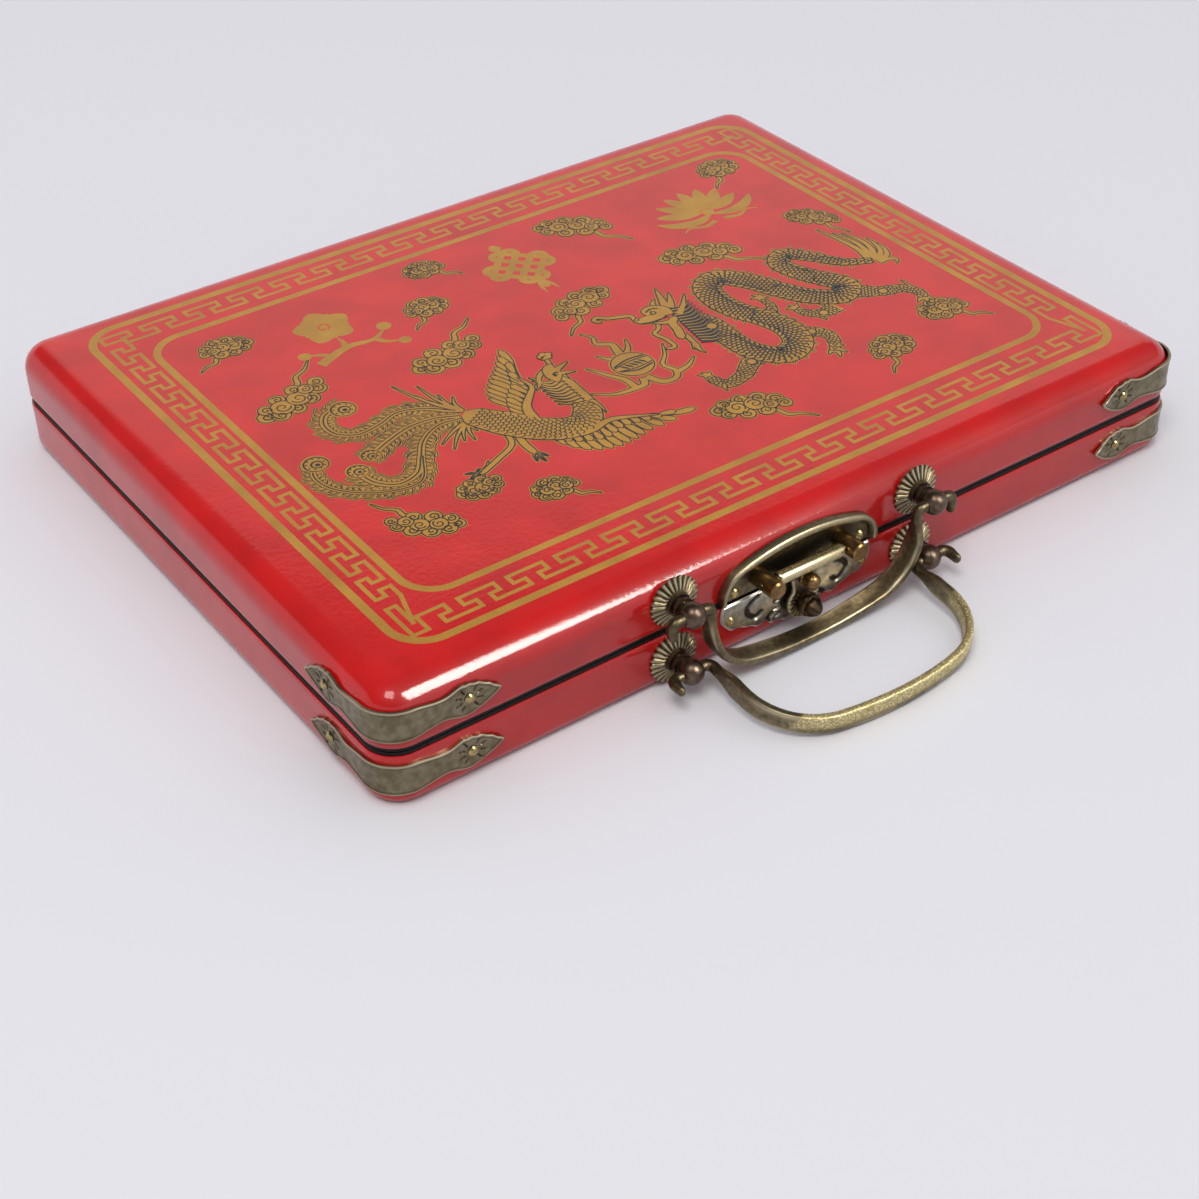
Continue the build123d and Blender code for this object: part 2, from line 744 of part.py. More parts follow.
for side_name, (x, _) in zip(("left", "right"), latch_post_points):
    with BuildPart() as plain_post:
        latch_post(x)
    save(plain_post.part, f"latch_post_{side_name}")

rod_half_length = latch_post_reach + latch_post_radius
with BuildPart() as latch_rod:
    with BuildSketch(Plane.YZ.offset(hardware_offset - rod_half_length)):
        with Locations((front_y - rod_out, rod_z)):
            Circle(rod_radius)
    extrude(amount=2 * rod_half_length)
save(latch_rod.part, "latch_rod")

barrel_half_length = latch_post_reach - latch_post_radius - barrel_end_clearance
tongue_front = tongue_out + tongue_thickness
head_z = -tongue_head_drop
waist = (tongue_waist_half_width, -tongue_waist_drop)
shoulder = (tongue_shoulder[0] * barrel_half_length, -tongue_shoulder[1] * tongue_waist_drop)

with BuildPart() as tongue:
    with BuildSketch(latch_plane(rod_z).offset(tongue_out)):
        with BuildLine():
            Line((-barrel_half_length, 0), (barrel_half_length, 0))
            for side in (-1, 1):
                Line((side * barrel_half_length, 0), (side * barrel_half_length, -barrel_radius))
                Spline(
                    (side * barrel_half_length, -barrel_radius),
                    (side * shoulder[0], shoulder[1]),
                    (side * waist[0], waist[1]),
                    tangents=((-side, 0), (0, -1)),
                )
                Line((side * waist[0], waist[1]), (side * waist[0], head_z))
                Line((side * waist[0], head_z), (0, -tongue_tip_drop))
        make_face()
        with Locations((0, head_z)):
            Circle(tongue_head_radius)
    extrude(amount=tongue_thickness)
    with BuildSketch(Plane.YZ.offset(hardware_offset - barrel_half_length)):
        with Locations((front_y - rod_out, rod_z)):
            Circle(barrel_radius)
    extrude(amount=2 * barrel_half_length)
    with BuildSketch(Plane.YZ.offset(hardware_offset - barrel_half_length)):
        with Locations((front_y - rod_out, rod_z)):
            Circle(rod_radius + barrel_play)
    extrude(amount=2 * barrel_half_length, mode=Mode.SUBTRACT)
    with BuildSketch(latch_plane(rod_z).offset(tongue_out)):
        with Locations((0, head_z), (0, -tongue_knob_drop)):
            Circle(knob_rivet_radius)
    extrude(amount=tongue_thickness, mode=Mode.SUBTRACT)
save(tongue.part, "latch_tongue")


def tongue_fitting(drop, profile_start, profile):
    """A turned fitting riveted through the tongue; the profile gives radius and distance out."""
    z = rod_z - drop
    with BuildSketch(outwards(hardware_offset, z)) as turned:
        with BuildLine():
            Polyline(
                (0, tongue_out),
                (knob_rivet_radius, tongue_out),
                (knob_rivet_radius, tongue_front),
                (profile_start, tongue_front),
            )
            profile()
        make_face()
    revolve(turned.sketch, axis=turned_axis(hardware_offset, z))


def dome_profile():
    """A short round stem with a domed end."""
    end = tongue_front + tongue_knob_length
    shoulder = end - tongue_knob_dome_height
    dome_sphere = sphere_radius(tongue_knob_radius, tongue_knob_dome_height)
    Line((tongue_knob_radius, tongue_front), (tongue_knob_radius, shoulder))
    RadiusArc((tongue_knob_radius, shoulder), (0, end), -dome_sphere)
    Line((0, end), (0, tongue_out))


def acorn_profile():
    """A stem, a broad cup and a nut that narrows to a blunt point."""
    cup = tongue_front + acorn_stem_length
    cup_end = cup + acorn_cup_share * acorn_length
    nut = [(share[0] * acorn_radius, cup + share[1] * acorn_length) for share in acorn_nut]
    Polyline(
        (acorn_stem_radius, tongue_front),
        (acorn_stem_radius, cup),
        (acorn_radius, cup),
        (acorn_radius, cup_end),
        nut[0],
    )
    Spline(*nut)
    Line(nut[-1], (0, tongue_out))


with BuildPart() as tongue_knob:
    tongue_fitting(tongue_knob_drop, tongue_knob_radius, dome_profile)
save(tongue_knob.part, "latch_dome_knob")

with BuildPart() as acorn:
    tongue_fitting(tongue_head_drop, acorn_stem_radius, acorn_profile)
save(acorn.part, "latch_acorn_knob")


# --- Hinges ---------------------------------------------------------------
knuckle_pitch = hinge_length / hinge_knuckles
knuckle_length = knuckle_pitch - knuckle_clearance
base_knuckles = [i for i in range(hinge_knuckles) if i % 2 == 0]
lid_knuckles = [i for i in range(hinge_knuckles) if i % 2 == 1]


def hinge_leaf(centre_x, upwards, knuckles, bore_radius):
    """A leaf on the back wall with its knuckles round the pin; upwards is +1 on the lid."""
    leaf_gap = hinge_knuckle_radius + knuckle_clearance
    with BuildSketch(back_plane) as plate:
        with Locations((-centre_x, parting_z + upwards * (leaf_gap + hinge_leaf_height) / 2)):
            Rectangle(hinge_length, hinge_leaf_height - leaf_gap)
    extrude(plate.sketch, amount=hinge_leaf_thickness)
    for i in knuckles:
        x = centre_x - hinge_length / 2 + (i + 0.5) * knuckle_pitch
        with BuildSketch(back_plane) as tab:
            with Locations((-x, parting_z + upwards * leaf_gap / 2)):
                Rectangle(knuckle_length, leaf_gap)
        extrude(tab.sketch, amount=hinge_leaf_thickness)
        with BuildSketch(Plane.YZ.offset(x - knuckle_length / 2)) as knuckle:
            with Locations((hinge_axis_y, parting_z)):
                Circle(hinge_knuckle_radius)
        extrude(knuckle.sketch, amount=knuckle_length)
        with BuildSketch(Plane.YZ.offset(x - knuckle_length / 2)) as bore:
            with Locations((hinge_axis_y, parting_z)):
                Circle(bore_radius)
        extrude(bore.sketch, amount=knuckle_length, mode=Mode.SUBTRACT)


for side_name, x in zip(("left", "right"), hinge_x):
    with BuildPart() as base_leaf:
        hinge_leaf(x, -1, base_knuckles, hinge_pin_radius + hinge_pin_play)
        add(base_shanks.part, mode=Mode.SUBTRACT)
    save(base_leaf.part, f"base_hinge_leaf_{side_name}")
    with BuildPart() as lid_leaf:
        hinge_leaf(x, 1, lid_knuckles, hinge_pin_radius)
        add(lid_shanks.part, mode=Mode.SUBTRACT)
    save(lid_leaf.part, f"lid_hinge_leaf_{side_name}")
    with BuildPart() as hinge_pin:
        with BuildSketch(Plane.YZ.offset(x - hinge_length / 2)):
            with Locations((hinge_axis_y, parting_z)):
                Circle(hinge_pin_radius)
        extrude(amount=hinge_length)
    save(hinge_pin.part, f"hinge_pin_{side_name}")
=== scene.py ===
"""Travel mahjong case: two wooden halves in red leatherette, gold print, antique brass."""

from math import atan2, cos, hypot, pi, radians, sin, sqrt

import bpy
import numpy as np
from mathutils import Matrix


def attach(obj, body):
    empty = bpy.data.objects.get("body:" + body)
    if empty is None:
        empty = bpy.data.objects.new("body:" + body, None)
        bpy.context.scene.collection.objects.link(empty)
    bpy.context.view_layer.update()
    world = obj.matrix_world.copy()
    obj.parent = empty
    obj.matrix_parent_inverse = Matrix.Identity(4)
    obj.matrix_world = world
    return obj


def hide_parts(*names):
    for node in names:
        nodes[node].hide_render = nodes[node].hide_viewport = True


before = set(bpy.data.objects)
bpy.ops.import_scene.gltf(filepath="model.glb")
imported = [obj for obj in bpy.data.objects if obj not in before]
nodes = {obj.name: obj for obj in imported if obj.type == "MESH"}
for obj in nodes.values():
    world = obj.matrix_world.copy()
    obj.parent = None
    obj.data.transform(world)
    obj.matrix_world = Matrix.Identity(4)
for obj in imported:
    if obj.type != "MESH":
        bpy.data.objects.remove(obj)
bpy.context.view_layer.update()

# --- Sizes in millimetres, as in the part's source ----------------------------
case_length = 240.0
case_depth = 182.0
corner_radius = 8.0
lid_edge_radius = 7.0
base_edge_radius = 3.0
wrap_thickness = 0.5
turned_under = 9.0
front_y = -case_depth / 2
base_top = 15.0
lid_bottom = 15.3
lid_top = 30.3
parting_z = (base_top + lid_bottom) / 2
rim_height = 1.0
hardware_x = -8.5  # the middle of the handles and the latch
ink_room = 0.12  # the lid's skin lies this far under the top of the print
skin_top = lid_top - ink_room

halves = (("lid", 1), ("base", -1))  # a half's name, and whether it is above the parting line
sides = (("left", -1), ("right", 1))  # a side's name, and its sign along x


# --- Curves -------------------------------------------------------------------
def smooth_step(low, high, value):
    """0 below low, 1 above high, and an even S-shaped rise between them: t squared times 3 - 2t."""
    t = np.clip((value - low) / (high - low), 0, 1)
    return t * t * (3 - 2 * t)


def left_of(along):
    """Directions in the plane turned a quarter turn to the left: (x, y) becomes (-y, x)."""
    return np.stack([-along[..., 1], along[..., 0]], -1)


def reaches(line):
    """How far along a line each of its points is: the lengths between them, added up."""
    return np.concatenate([[0], np.cumsum(np.hypot(*np.diff(line, axis=0).T))])


def places_at(line, at):
    """Places on a line at these reaches, evenly between its points."""
    reach = reaches(line)
    return np.stack([np.interp(at, reach, line[:, k]) for k in range(2)], -1)


def directions(line):
    """A line's unit tangents: the difference of each point's neighbours over its length."""
    along = np.gradient(line, axis=0)
    return along / np.hypot(*along.T)[:, None]


def smooth_curve(points, count):
    """A curve through the points: a cubic between each pair, with slopes from their neighbours."""
    points = np.asarray(points, float)
    reach = reaches(points)
    slope = np.gradient(points, reach, axis=0)
    at = np.linspace(0, reach[-1], count)
    i = np.clip(np.searchsorted(reach, at, "right") - 1, 0, len(reach) - 2)
    gap = (reach[i + 1] - reach[i])[:, None]
    t = (at - reach[i])[:, None] / gap
    return (
        (2 * t**3 - 3 * t**2 + 1) * points[i]
        + (t**3 - 2 * t**2 + t) * gap * slope[i]
        + (3 * t**2 - 2 * t**3) * points[i + 1]
        + (t**3 - t**2) * gap * slope[i + 1]
    )


def arc(centre, radius, start, end, count):
    """Points along an arc: its centre plus the radius times (cosine, sine) of angles in degrees."""
    angle = np.radians(np.linspace(start, end, count))
    return np.asarray(centre) + radius * np.stack([np.cos(angle), np.sin(angle)], -1)


def distance_to(places, curve):
    """The distance of each place to the nearest of a curve's close points."""
    apart = places[..., None, :] - np.asarray(curve, float)
    return np.sqrt((apart**2).sum(-1)).min(-1)


# --- Surfaces -----------------------------------------------------------------
def grid_faces(rows, columns, wrap_rows=False, wrap_columns=True):
    """Quads between neighbouring rows and columns of points numbered row by row."""
    i = np.arange(rows if wrap_rows else rows - 1)[:, None]
    j = np.arange(columns if wrap_columns else columns - 1)[None, :]
    below, right = (i + 1) % rows, (j + 1) % columns
    corners = [i * columns + j, i * columns + right, below * columns + right, below * columns + j]
    return np.stack(np.broadcast_arrays(*corners), -1).reshape(-1, 4)


def outwards(points, faces):
    """Turn every face round if together they enclose a negative volume.

    The volume is the sum, over the triangles, of one corner times the cross product of the
    other two.
    """
    a, b, c, d = (points[faces[:, k]] - points.mean(0) for k in range(4))
    volume = (a * np.cross(b, c) + a * np.cross(c, d)).sum()
    return faces if volume > 0 else faces[:, [1, 0, 3, 2]]


def closed_rings(grid):
    """Rings joined into a tube, the first and the last ring filled from their middles.

    A triangle is a quad whose last two corners are one point.
    """
    rows, columns = grid.shape[:2]
    ring = np.arange(columns)
    following = (ring + 1) % columns
    last = (rows - 1) * columns
    first_middle = np.full(columns, rows * columns)
    points = np.concatenate([grid.reshape(-1, 3), grid[[0, -1]].mean(1)])
    first_fan = np.stack([first_middle, following, ring, ring], -1)
    last_fan = np.stack([first_middle + 1, last + ring, last + following, last + following], -1)
    faces = np.concatenate([grid_faces(rows, columns), first_fan, last_fan])
    return points, outwards(points, faces)


def closed_loop(grid):
    """Rings joined into a tube whose last ring meets the first."""
    points = grid.reshape(-1, 3)
    return points, outwards(points, grid_faces(*grid.shape[:2], wrap_rows=True))


def make_piece(name, body, forms, finishes, replaced=(), crease=40.0):
    """One object from forms: (points in mm, faces, finish number, age), riding on a body.

    age has three columns from 0 to 1: worn bright edges, grime in hollows that also paints shade,
    and a polished face with a painted highlight.
    """
    points, faces, numbers, ages = [], [], [], []
    start = 0
    for form_points, form_faces, finish, age in forms:
        points.append(form_points)
        faces.append(form_faces + start)
        numbers.append(np.full(len(form_faces), finish))
        full_age = np.zeros((len(form_points), 3))
        if age is not None:
            full_age[: len(age)] = age
        ages.append(full_age)
        start += len(form_points)
    points, faces = np.concatenate(points) / 1000, np.concatenate(faces)
    corners = np.ones(faces.shape, bool)
    corners[:, 3] = faces[:, 2] != faces[:, 3]  # a triangle has no fourth corner
    counts = corners.sum(1)
    mesh = bpy.data.meshes.new(name)
    mesh.vertices.add(len(points))
    mesh.vertices.foreach_set("co", points.astype(np.float32).ravel())
    mesh.loops.add(int(counts.sum()))
    mesh.loops.foreach_set("vertex_index", faces[corners].astype(np.int32))
    mesh.polygons.add(len(faces))
    mesh.polygons.foreach_set("loop_start", (np.cumsum(counts) - counts).astype(np.int32))
    mesh.polygons.foreach_set("material_index", np.concatenate(numbers).astype(np.int32))
    mesh.update(calc_edges=True)
    mesh.validate()
    age_layer = mesh.attributes.new("age", "FLOAT_VECTOR", "POINT")
    age_layer.data.foreach_set("vector", np.concatenate(ages).astype(np.float32).ravel())
    mesh.shade_smooth()
    mesh.set_sharp_from_angle(angle=radians(crease))
    for finish in finishes:
        mesh.materials.append(finish)
    piece = bpy.data.objects.new(name, mesh)
    bpy.context.scene.collection.objects.link(piece)
    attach(piece, body)
    if replaced:
        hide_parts(*replaced)
    return piece


# --- Materials ----------------------------------------------------------------
# A colour Mix node's sockets: how much of the second colour, the two colours, and the result.
COLOURS = {"data_type": "RGBA"}
SHARE, FIRST, SECOND, BLEND = 0, 6, 7, 2
MULTIPLY = {"operation": "MULTIPLY"}
MULTIPLY_ADD = {"operation": "MULTIPLY_ADD"}  # input 0 times input 1, plus input 2
MAXIMUM = {"operation": "MAXIMUM"}


def srgb(code):
    """A colour from its hex code, each channel turned from sRGB to linear light."""
    channels = np.array([int(code[k : k + 2], 16) / 255 for k in (0, 2, 4)])
    linear = np.where(channels <= 0.04045, channels / 12.92, ((channels + 0.055) / 1.055) ** 2.4)
    return (*linear.tolist(), 1.0)


def node(tree, kind, settings=None, inputs=None):
    """Add a shader node with its settings; an input takes a value, a node or a node's output."""
    made = tree.nodes.new("ShaderNode" + kind)
    for name, value in (settings or {}).items():
        setattr(made, name, value)
    for name, value in (inputs or {}).items():
        if isinstance(value, bpy.types.Node):
            value = value.outputs[0]
        if isinstance(value, bpy.types.NodeSocket):
            tree.links.new(value, made.inputs[name])
        else:
            made.inputs[name].default_value = value
    return made


def blank_material(name):
    """An empty material: itself, its tree and its object coordinates in metres."""
    material = bpy.data.materials.new(name)
    material.use_nodes = True
    tree = material.node_tree
    tree.nodes.clear()
    return material, tree, node(tree, "TexCoord").outputs["Object"]


def finish_material(tree, inputs):
    """Join a Principled shader with these inputs to the output."""
    shader = node(tree, "BsdfPrincipled", inputs=inputs)
    node(tree, "OutputMaterial", inputs={"Surface": shader})


def per_metre(size):
    """A texture scale whose features are about this many millimetres."""
    return 1000 / size


def leatherette(name, body, deep, light, coat, gloss, grain_height):
    """PU-coated cloth with a pressed grain, under a gloss lacquer that evens it out.

    The grain's cells are 0.9 mm, coarser than the real 0.3 mm so that they show, and blotches
    of 16 mm come from the hand-rubbed colour. The lacquer has a faint orange peel of 1.1 mm on
    slow waves of 30 mm, and the grain's pits hold flecks of a lighter colour.
    """
    material, tree, place = blank_material(name)
    cells = node(
        tree, "TexVoronoi", {"feature": "SMOOTH_F1"}, {"Vector": place, "Scale": per_metre(0.9)}
    )
    pores = node(tree, "TexNoise", None, {"Vector": place, "Scale": per_metre(0.5), "Detail": 3.0})
    blotch = node(tree, "TexNoise", None, {"Vector": place, "Scale": per_metre(16), "Detail": 5.0})
    waves = node(tree, "TexNoise", None, {"Vector": place, "Scale": per_metre(30), "Detail": 1.0})
    peel = node(tree, "TexNoise", None, {"Vector": place, "Scale": per_metre(1.1), "Detail": 2.0})
    shade = node(tree, "MapRange", None, {"Value": blotch, "From Min": 0.35, "From Max": 0.7})
    rubbed = node(tree, "Mix", COLOURS, {SHARE: shade, FIRST: srgb(body), SECOND: srgb(deep)})
    fleck = node(
        tree, "MapRange", None, {"Value": pores, "From Min": 0.56, "From Max": 0.72, "To Max": 0.3}
    )
    colour = node(
        tree, "Mix", COLOURS, {SHARE: fleck, FIRST: rubbed.outputs[BLEND], SECOND: srgb(light)}
    )
    grain = node(tree, "Math", MULTIPLY_ADD, {0: pores, 1: 0.6, 2: cells})
    relief = node(
        tree, "Bump", None, {"Height": grain, "Strength": 0.5, "Distance": grain_height / 1000}
    )
    swell = node(tree, "Bump", None, {"Height": waves, "Strength": 0.6, "Distance": 0.0002})
    skin = node(
        tree, "Bump", None,
        {"Height": peel, "Strength": 0.6, "Distance": 0.00005, "Normal": swell},
    )
    rough = node(tree, "MapRange", None, {"Value": blotch, "To Min": 0.42, "To Max": 0.58})
    finish_material(
        tree,
        {
            "Base Color": colour.outputs[BLEND],
            "Roughness": rough,
            "IOR": 1.5,
            "Specular IOR Level": gloss,
            "Coat Weight": coat,
            "Coat Roughness": 0.12,
            "Coat Normal": skin,
            "Normal": relief,
        },
    )
    return material


def printing_ink(name, body, deep, metallic):
    """Screen-printed ink under the lacquer, with specks of 0.45 mm and thin places of 9 mm."""
    material, tree, place = blank_material(name)
    specks = node(
        tree, "TexNoise", None, {"Vector": place, "Scale": per_metre(0.45), "Detail": 2.0}
    )
    thin = node(tree, "TexNoise", None, {"Vector": place, "Scale": per_metre(9), "Detail": 4.0})
    both = node(tree, "Math", MULTIPLY_ADD, {0: specks, 1: 0.6, 2: thin})
    cover = node(tree, "MapRange", None, {"Value": both, "From Min": 0.6, "From Max": 1.05})
    colour = node(tree, "Mix", COLOURS, {SHARE: cover, FIRST: srgb(body), SECOND: srgb(deep)})
    relief = node(tree, "Bump", None, {"Height": specks, "Strength": 0.4, "Distance": 0.00002})
    finish_material(
        tree,
        {
            "Base Color": colour.outputs[BLEND],
            "Metallic": metallic,
            "Roughness": 0.5,
            "Specular IOR Level": 0.3,
            "Coat Weight": 0.5,
            "Coat Roughness": 0.2,
            "Normal": relief,
        },
    )
    return material


def aged_metal(name, body, deep, bright, roughness, cast, patina=3.5):
    """Cast or stamped metal with a dark patina, brighter where hands and edges rub it.

    The patina's patches are of the given size in mm, the casting's pits 0.45 mm, worn edges take
    the bright colour, a polished face takes pale sparkling colours, a painted highlight, and grime
    fills the hollows, its dark also used as painted shade. cast is how strong the pits are.
    """
    material, tree, place = blank_material(name)
    age = node(tree, "Attribute", {"attribute_name": "age"}).outputs["Vector"]
    worn, grime, polish_and_highlight = node(tree, "SeparateXYZ", None, {0: age}).outputs
    patches = node(
        tree, "TexNoise", None, {"Vector": place, "Scale": per_metre(patina), "Detail": 6.0}
    )
    pits = node(tree, "TexNoise", None, {"Vector": place, "Scale": per_metre(0.45), "Detail": 3.0})
    sparkle = node(tree, "MapRange", None, {"Value": pits, "From Min": 0.45, "From Max": 0.65})
    dulled = node(tree, "MapRange", None, {"Value": patches, "From Min": 0.35, "From Max": 0.65})
    # the glint colours are a painted highlight: pale sparkles on the polished face
    glint = node(
        tree, "Mix", COLOURS, {SHARE: sparkle, FIRST: srgb("A89A6E"), SECOND: srgb("E6DAAE")}
    ).outputs[BLEND]
    rubbed = node(tree, "Math", MULTIPLY, {0: worn, 1: 0.85})
    # near-black: grime in the hollows, and painted shade where a piece puts shade in the grime
    # column
    grime_and_painted_shade = node(tree, "Math", MULTIPLY, {0: grime, 1: 0.9})
    colour = srgb(body)
    for share, over in (
        (dulled, srgb(deep)), (rubbed, srgb(bright)), (polish_and_highlight, glint), (grime_and_painted_shade, srgb("17130D"))
    ):
        layer = node(tree, "Mix", COLOURS, {SHARE: share, FIRST: colour, SECOND: over})
        colour = layer.outputs[BLEND]
    rough = node(
        tree, "MapRange", None,
        {"Value": patches, "To Min": roughness - 0.1, "To Max": roughness + 0.14},
    )
    rough = node(tree, "Math", MULTIPLY_ADD, {0: polish_and_highlight, 1: 0.16, 2: rough})
    relief = node(tree, "Bump", None, {"Height": pits, "Strength": cast, "Distance": 0.00008})
    finish_material(
        tree, {"Base Color": colour, "Metallic": 1.0, "Roughness": rough, "Normal": relief}
    )
    return material


def poplar(name, pale, brown, grain_along):
    """Poplar board: 1.2 mm growth lines stretched ten times along the grain, and 0.4 mm fibres."""
    material, tree, place = blank_material(name)
    stretch = [1.0, 1.0, 1.0]
    stretch[grain_along] = 0.1
    along = node(tree, "Mapping", None, {"Vector": place, "Scale": stretch})
    lines = node(
        tree, "TexNoise", None,
        {"Vector": along, "Scale": per_metre(1.2), "Detail": 4.0, "Distortion": 0.6},
    )
    fibres = node(tree, "TexNoise", None, {"Vector": along, "Scale": per_metre(0.4), "Detail": 2.0})
    both = node(tree, "Math", MULTIPLY_ADD, {0: fibres, 1: 0.4, 2: lines})
    tone = node(tree, "MapRange", None, {"Value": both, "From Min": 0.5, "From Max": 0.9})
    colour = node(tree, "Mix", COLOURS, {SHARE: tone, FIRST: srgb(pale), SECOND: srgb(brown)})
    relief = node(tree, "Bump", None, {"Height": fibres, "Strength": 0.4, "Distance": 0.0001})
    finish_material(
        tree,
        {"Base Color": colour.outputs[BLEND], "Roughness": 0.62, "IOR": 1.5, "Normal": relief},
    )
    return material


def flocking(name, body, light):
    """Flocked paper: upright fibres, drawn at 0.6 mm so that they show, with brushed patches."""
    material, tree, place = blank_material(name)
    fibres = node(tree, "TexNoise", None, {"Vector": place, "Scale": per_metre(0.6), "Detail": 4.0})
    patches = node(tree, "TexNoise", None, {"Vector": place, "Scale": per_metre(22), "Detail": 3.0})
    both = node(tree, "Math", MULTIPLY_ADD, {0: patches, 1: 0.5, 2: fibres})
    tone = node(tree, "MapRange", None, {"Value": both, "From Min": 0.55, "From Max": 1.0})
    colour = node(tree, "Mix", COLOURS, {SHARE: tone, FIRST: srgb(body), SECOND: srgb(light)})
    relief = node(tree, "Bump", None, {"Height": fibres, "Strength": 0.8, "Distance": 0.0003})
    finish_material(
        tree,
        {
            "Base Color": colour.outputs[BLEND],
            "Roughness": 0.95,
            "Sheen Weight": 0.4,
            "Sheen Roughness": 0.5,
            "Normal": relief,
        },
    )
    return material


# Red PU leatherette under lacquer: saturated red with a clear gloss that takes a pale sheen.
red_leatherette = leatherette("red_leatherette", "DE0C0E", "C6080B", "DC2A28", 0.95, 0.2, 0.03)
# Black leatherette on the underside: dull, with a coarser grain.
black_leatherette = leatherette("black_leatherette", "141314", "0C0C0D", "2E2C2C", 0.15, 0.4, 0.08)
# Black leatherette edging at the parting line, unlacquered: textured, with paler worn specks.
black_edging = leatherette("black_edging", "0B0A0A", "050505", "5E4C44", 0.0, 0.2, 0.16)
# Screen ink with bronze powder: deep gold that gleams softly and varies with its thickness.
gold_ink = printing_ink("gold_ink", "D29C38", "B88430", 0.3)
# Green-black screen ink for the lines inside the gold: dark and even, without any metal.
dark_ink = printing_ink("green_black_ink", "23292A", "191D1E", 0.0)
# Cast and forged brass, darkened in a bath and rubbed back: dull grey gold with pale edges.
antique_brass = aged_metal("antique_brass", "80735A", "5F5440", "C6BA9A", 0.38, 0.5, 1.3)
# The same bath on stamped sheet: greyer and smoother, in small clouds.
strap_brass = aged_metal("stamped_antique_brass", "857C66", "6A614B", "B8AD90", 0.32, 0.25, 2.0)
# Stamped brass sheet with a worn nickel wash: pale grey with a cool gleam.
plate_brass = aged_metal("nickel_washed_brass", "B0ACA2", "85817A", "DEDAD0", 0.3, 0.15, 1.6)
# Rolled and drawn brass, bare and rubbed: clean yellow metal with soft reflections. On the latch
# barrel it is a painted highlight, a lit copy beside the tongue's darker brass.
bright_brass = aged_metal("bright_brass", "BCA873", "8A7A54", "E6DAB4", 0.26, 0.1, 1.5)
# Turned posts in a brown bronze finish: dark and warm beside the brass.
post_bronze = aged_metal("brown_bronze", "6E5D50", "4E4138", "AA9880", 0.36, 0.3, 1.2)
# Turned knobs and posts in a copper bronze finish: reddish gold with a soft shine.
copper_bronze = aged_metal("copper_bronze", "94764E", "735836", "D0B184", 0.3, 0.1, 1.5)
# A cast knob in dark bronze: nearly black brown that catches the light on its facets.
acorn_bronze = aged_metal("dark_bronze", "5C4A38", "2F251C", "A8906A", 0.3, 0.12)
# Zinc-plated steel nuts and washers: plain, smooth, cool grey.
zinc_steel = aged_metal("zinc_plated_steel", "B4B7B8", "8A8E92", "DADDDE", 0.28, 0.04)
# Sawn poplar, unvarnished: pale straw with fine brown lines, a little darker in the dividers.
frame_wood = poplar("poplar_frame", "D8BD92", "B08A5C", 0)
divider_wood = poplar("poplar_divider", "CDAE80", "A27C50", 0)
cross_wood = poplar("poplar_cross_divider", "CDAE80", "A27C50", 1)
# Flocked paper lining: deep black that swallows light, with a faint sheen at a low angle.
black_flock = flocking("black_flock", "0B0B0C", "1D1C1E")


# --- Leatherette skins --------------------------------------------------------
plan_half = np.array([case_length, case_depth]) / 2 - corner_radius  # the corners' centres


def rounded_outline(side_points=30, corner_points=18):
    """Anchors and outward normals round the case in plan.

    A ring is each anchor plus (radius - inset) times its normal. The four quarter turns have
    their anchors at the corners' centres, and the straight sides slide from one anchor to the
    next with a steady normal.
    """
    anchors, normals = [], []
    for turn in range(4):
        angle = radians(90) * (turn + np.linspace(-1, 0, corner_points))
        sign = np.sign([cos(angle.mean()), sin(angle.mean())])
        following = np.sign([cos(angle.mean() + pi / 2), sin(angle.mean() + pi / 2)])
        anchors.append(np.repeat((sign * plan_half)[None], corner_points, 0))
        normals.append(np.stack([np.cos(angle), np.sin(angle)], -1))
        along = np.linspace(0, 1, side_points + 2)[1:-1, None]
        anchors.append(sign * plan_half * (1 - along) + following * plan_half * along)
        normals.append(np.repeat(normals[-1][-1:], side_points, 0))
    return np.concatenate(anchors), np.concatenate(normals)


outline_anchors, outline_normals = rounded_outline()


def plan_rings(insets_heights):
    """Rings round the case: each drawn in by its inset, at its height.

    The corner's radius shrinks with the inset down to 1 mm, and from there the outline slides in.
    """
    insets, heights = np.array(insets_heights).T
    radius = np.maximum(corner_radius - insets, 1.0)
    slide = (insets + radius - corner_radius)[:, None, None]
    flat = outline_anchors * (1 - slide / plan_half) + radius[:, None, None] * outline_normals
    level = np.repeat(heights[:, None, None], flat.shape[1], 1)
    return np.concatenate([flat, level], -1)


def round_edge(inset, height, radius, start, end, count):
    """(inset, height) places along an arc about a centre at that inset and height."""
    angle = np.radians(np.linspace(start, end, count))
    return list(zip(inset - radius * np.cos(angle), height + radius * np.sin(angle)))


def shrinking_rings(ring, steps):
    """A flat face: copies of its outer ring scaled towards the middle."""
    scale = np.linspace(1, 0, steps + 1)[1:-1, None, None]
    level = np.repeat(ring[None, :, 2:], steps - 1, 0)
    return np.concatenate([ring[None, :, :2] * scale, level], -1)


edge_tuck = 0.12  # the cut edge of a wrap leans in by this much
tuck_height = 0.3


def lid_skin():
    """The lid's wrap: a flat top, a round edge and upright sides, half a millimetre thick."""
    edge_centre = skin_top - lid_edge_radius
    start = lid_bottom + rim_height
    side = [(0, height) for height in np.linspace(start + tuck_height, edge_centre, 8)[:-1]]
    outer_edge = round_edge(lid_edge_radius, edge_centre, lid_edge_radius, 0, 90, 13)
    outer = plan_rings([(edge_tuck, start)] + side + outer_edge)
    inner_edge = round_edge(
        lid_edge_radius, lid_top - lid_edge_radius, lid_edge_radius - wrap_thickness, 0, 90, 7
    )
    inner = plan_rings([(wrap_thickness, start)] + inner_edge)
    top = shrinking_rings(outer[-1], 8)
    under = shrinking_rings(inner[-1], 4)
    return (*closed_rings(np.concatenate([top[::-1], outer[::-1], inner, under])), 0, None)


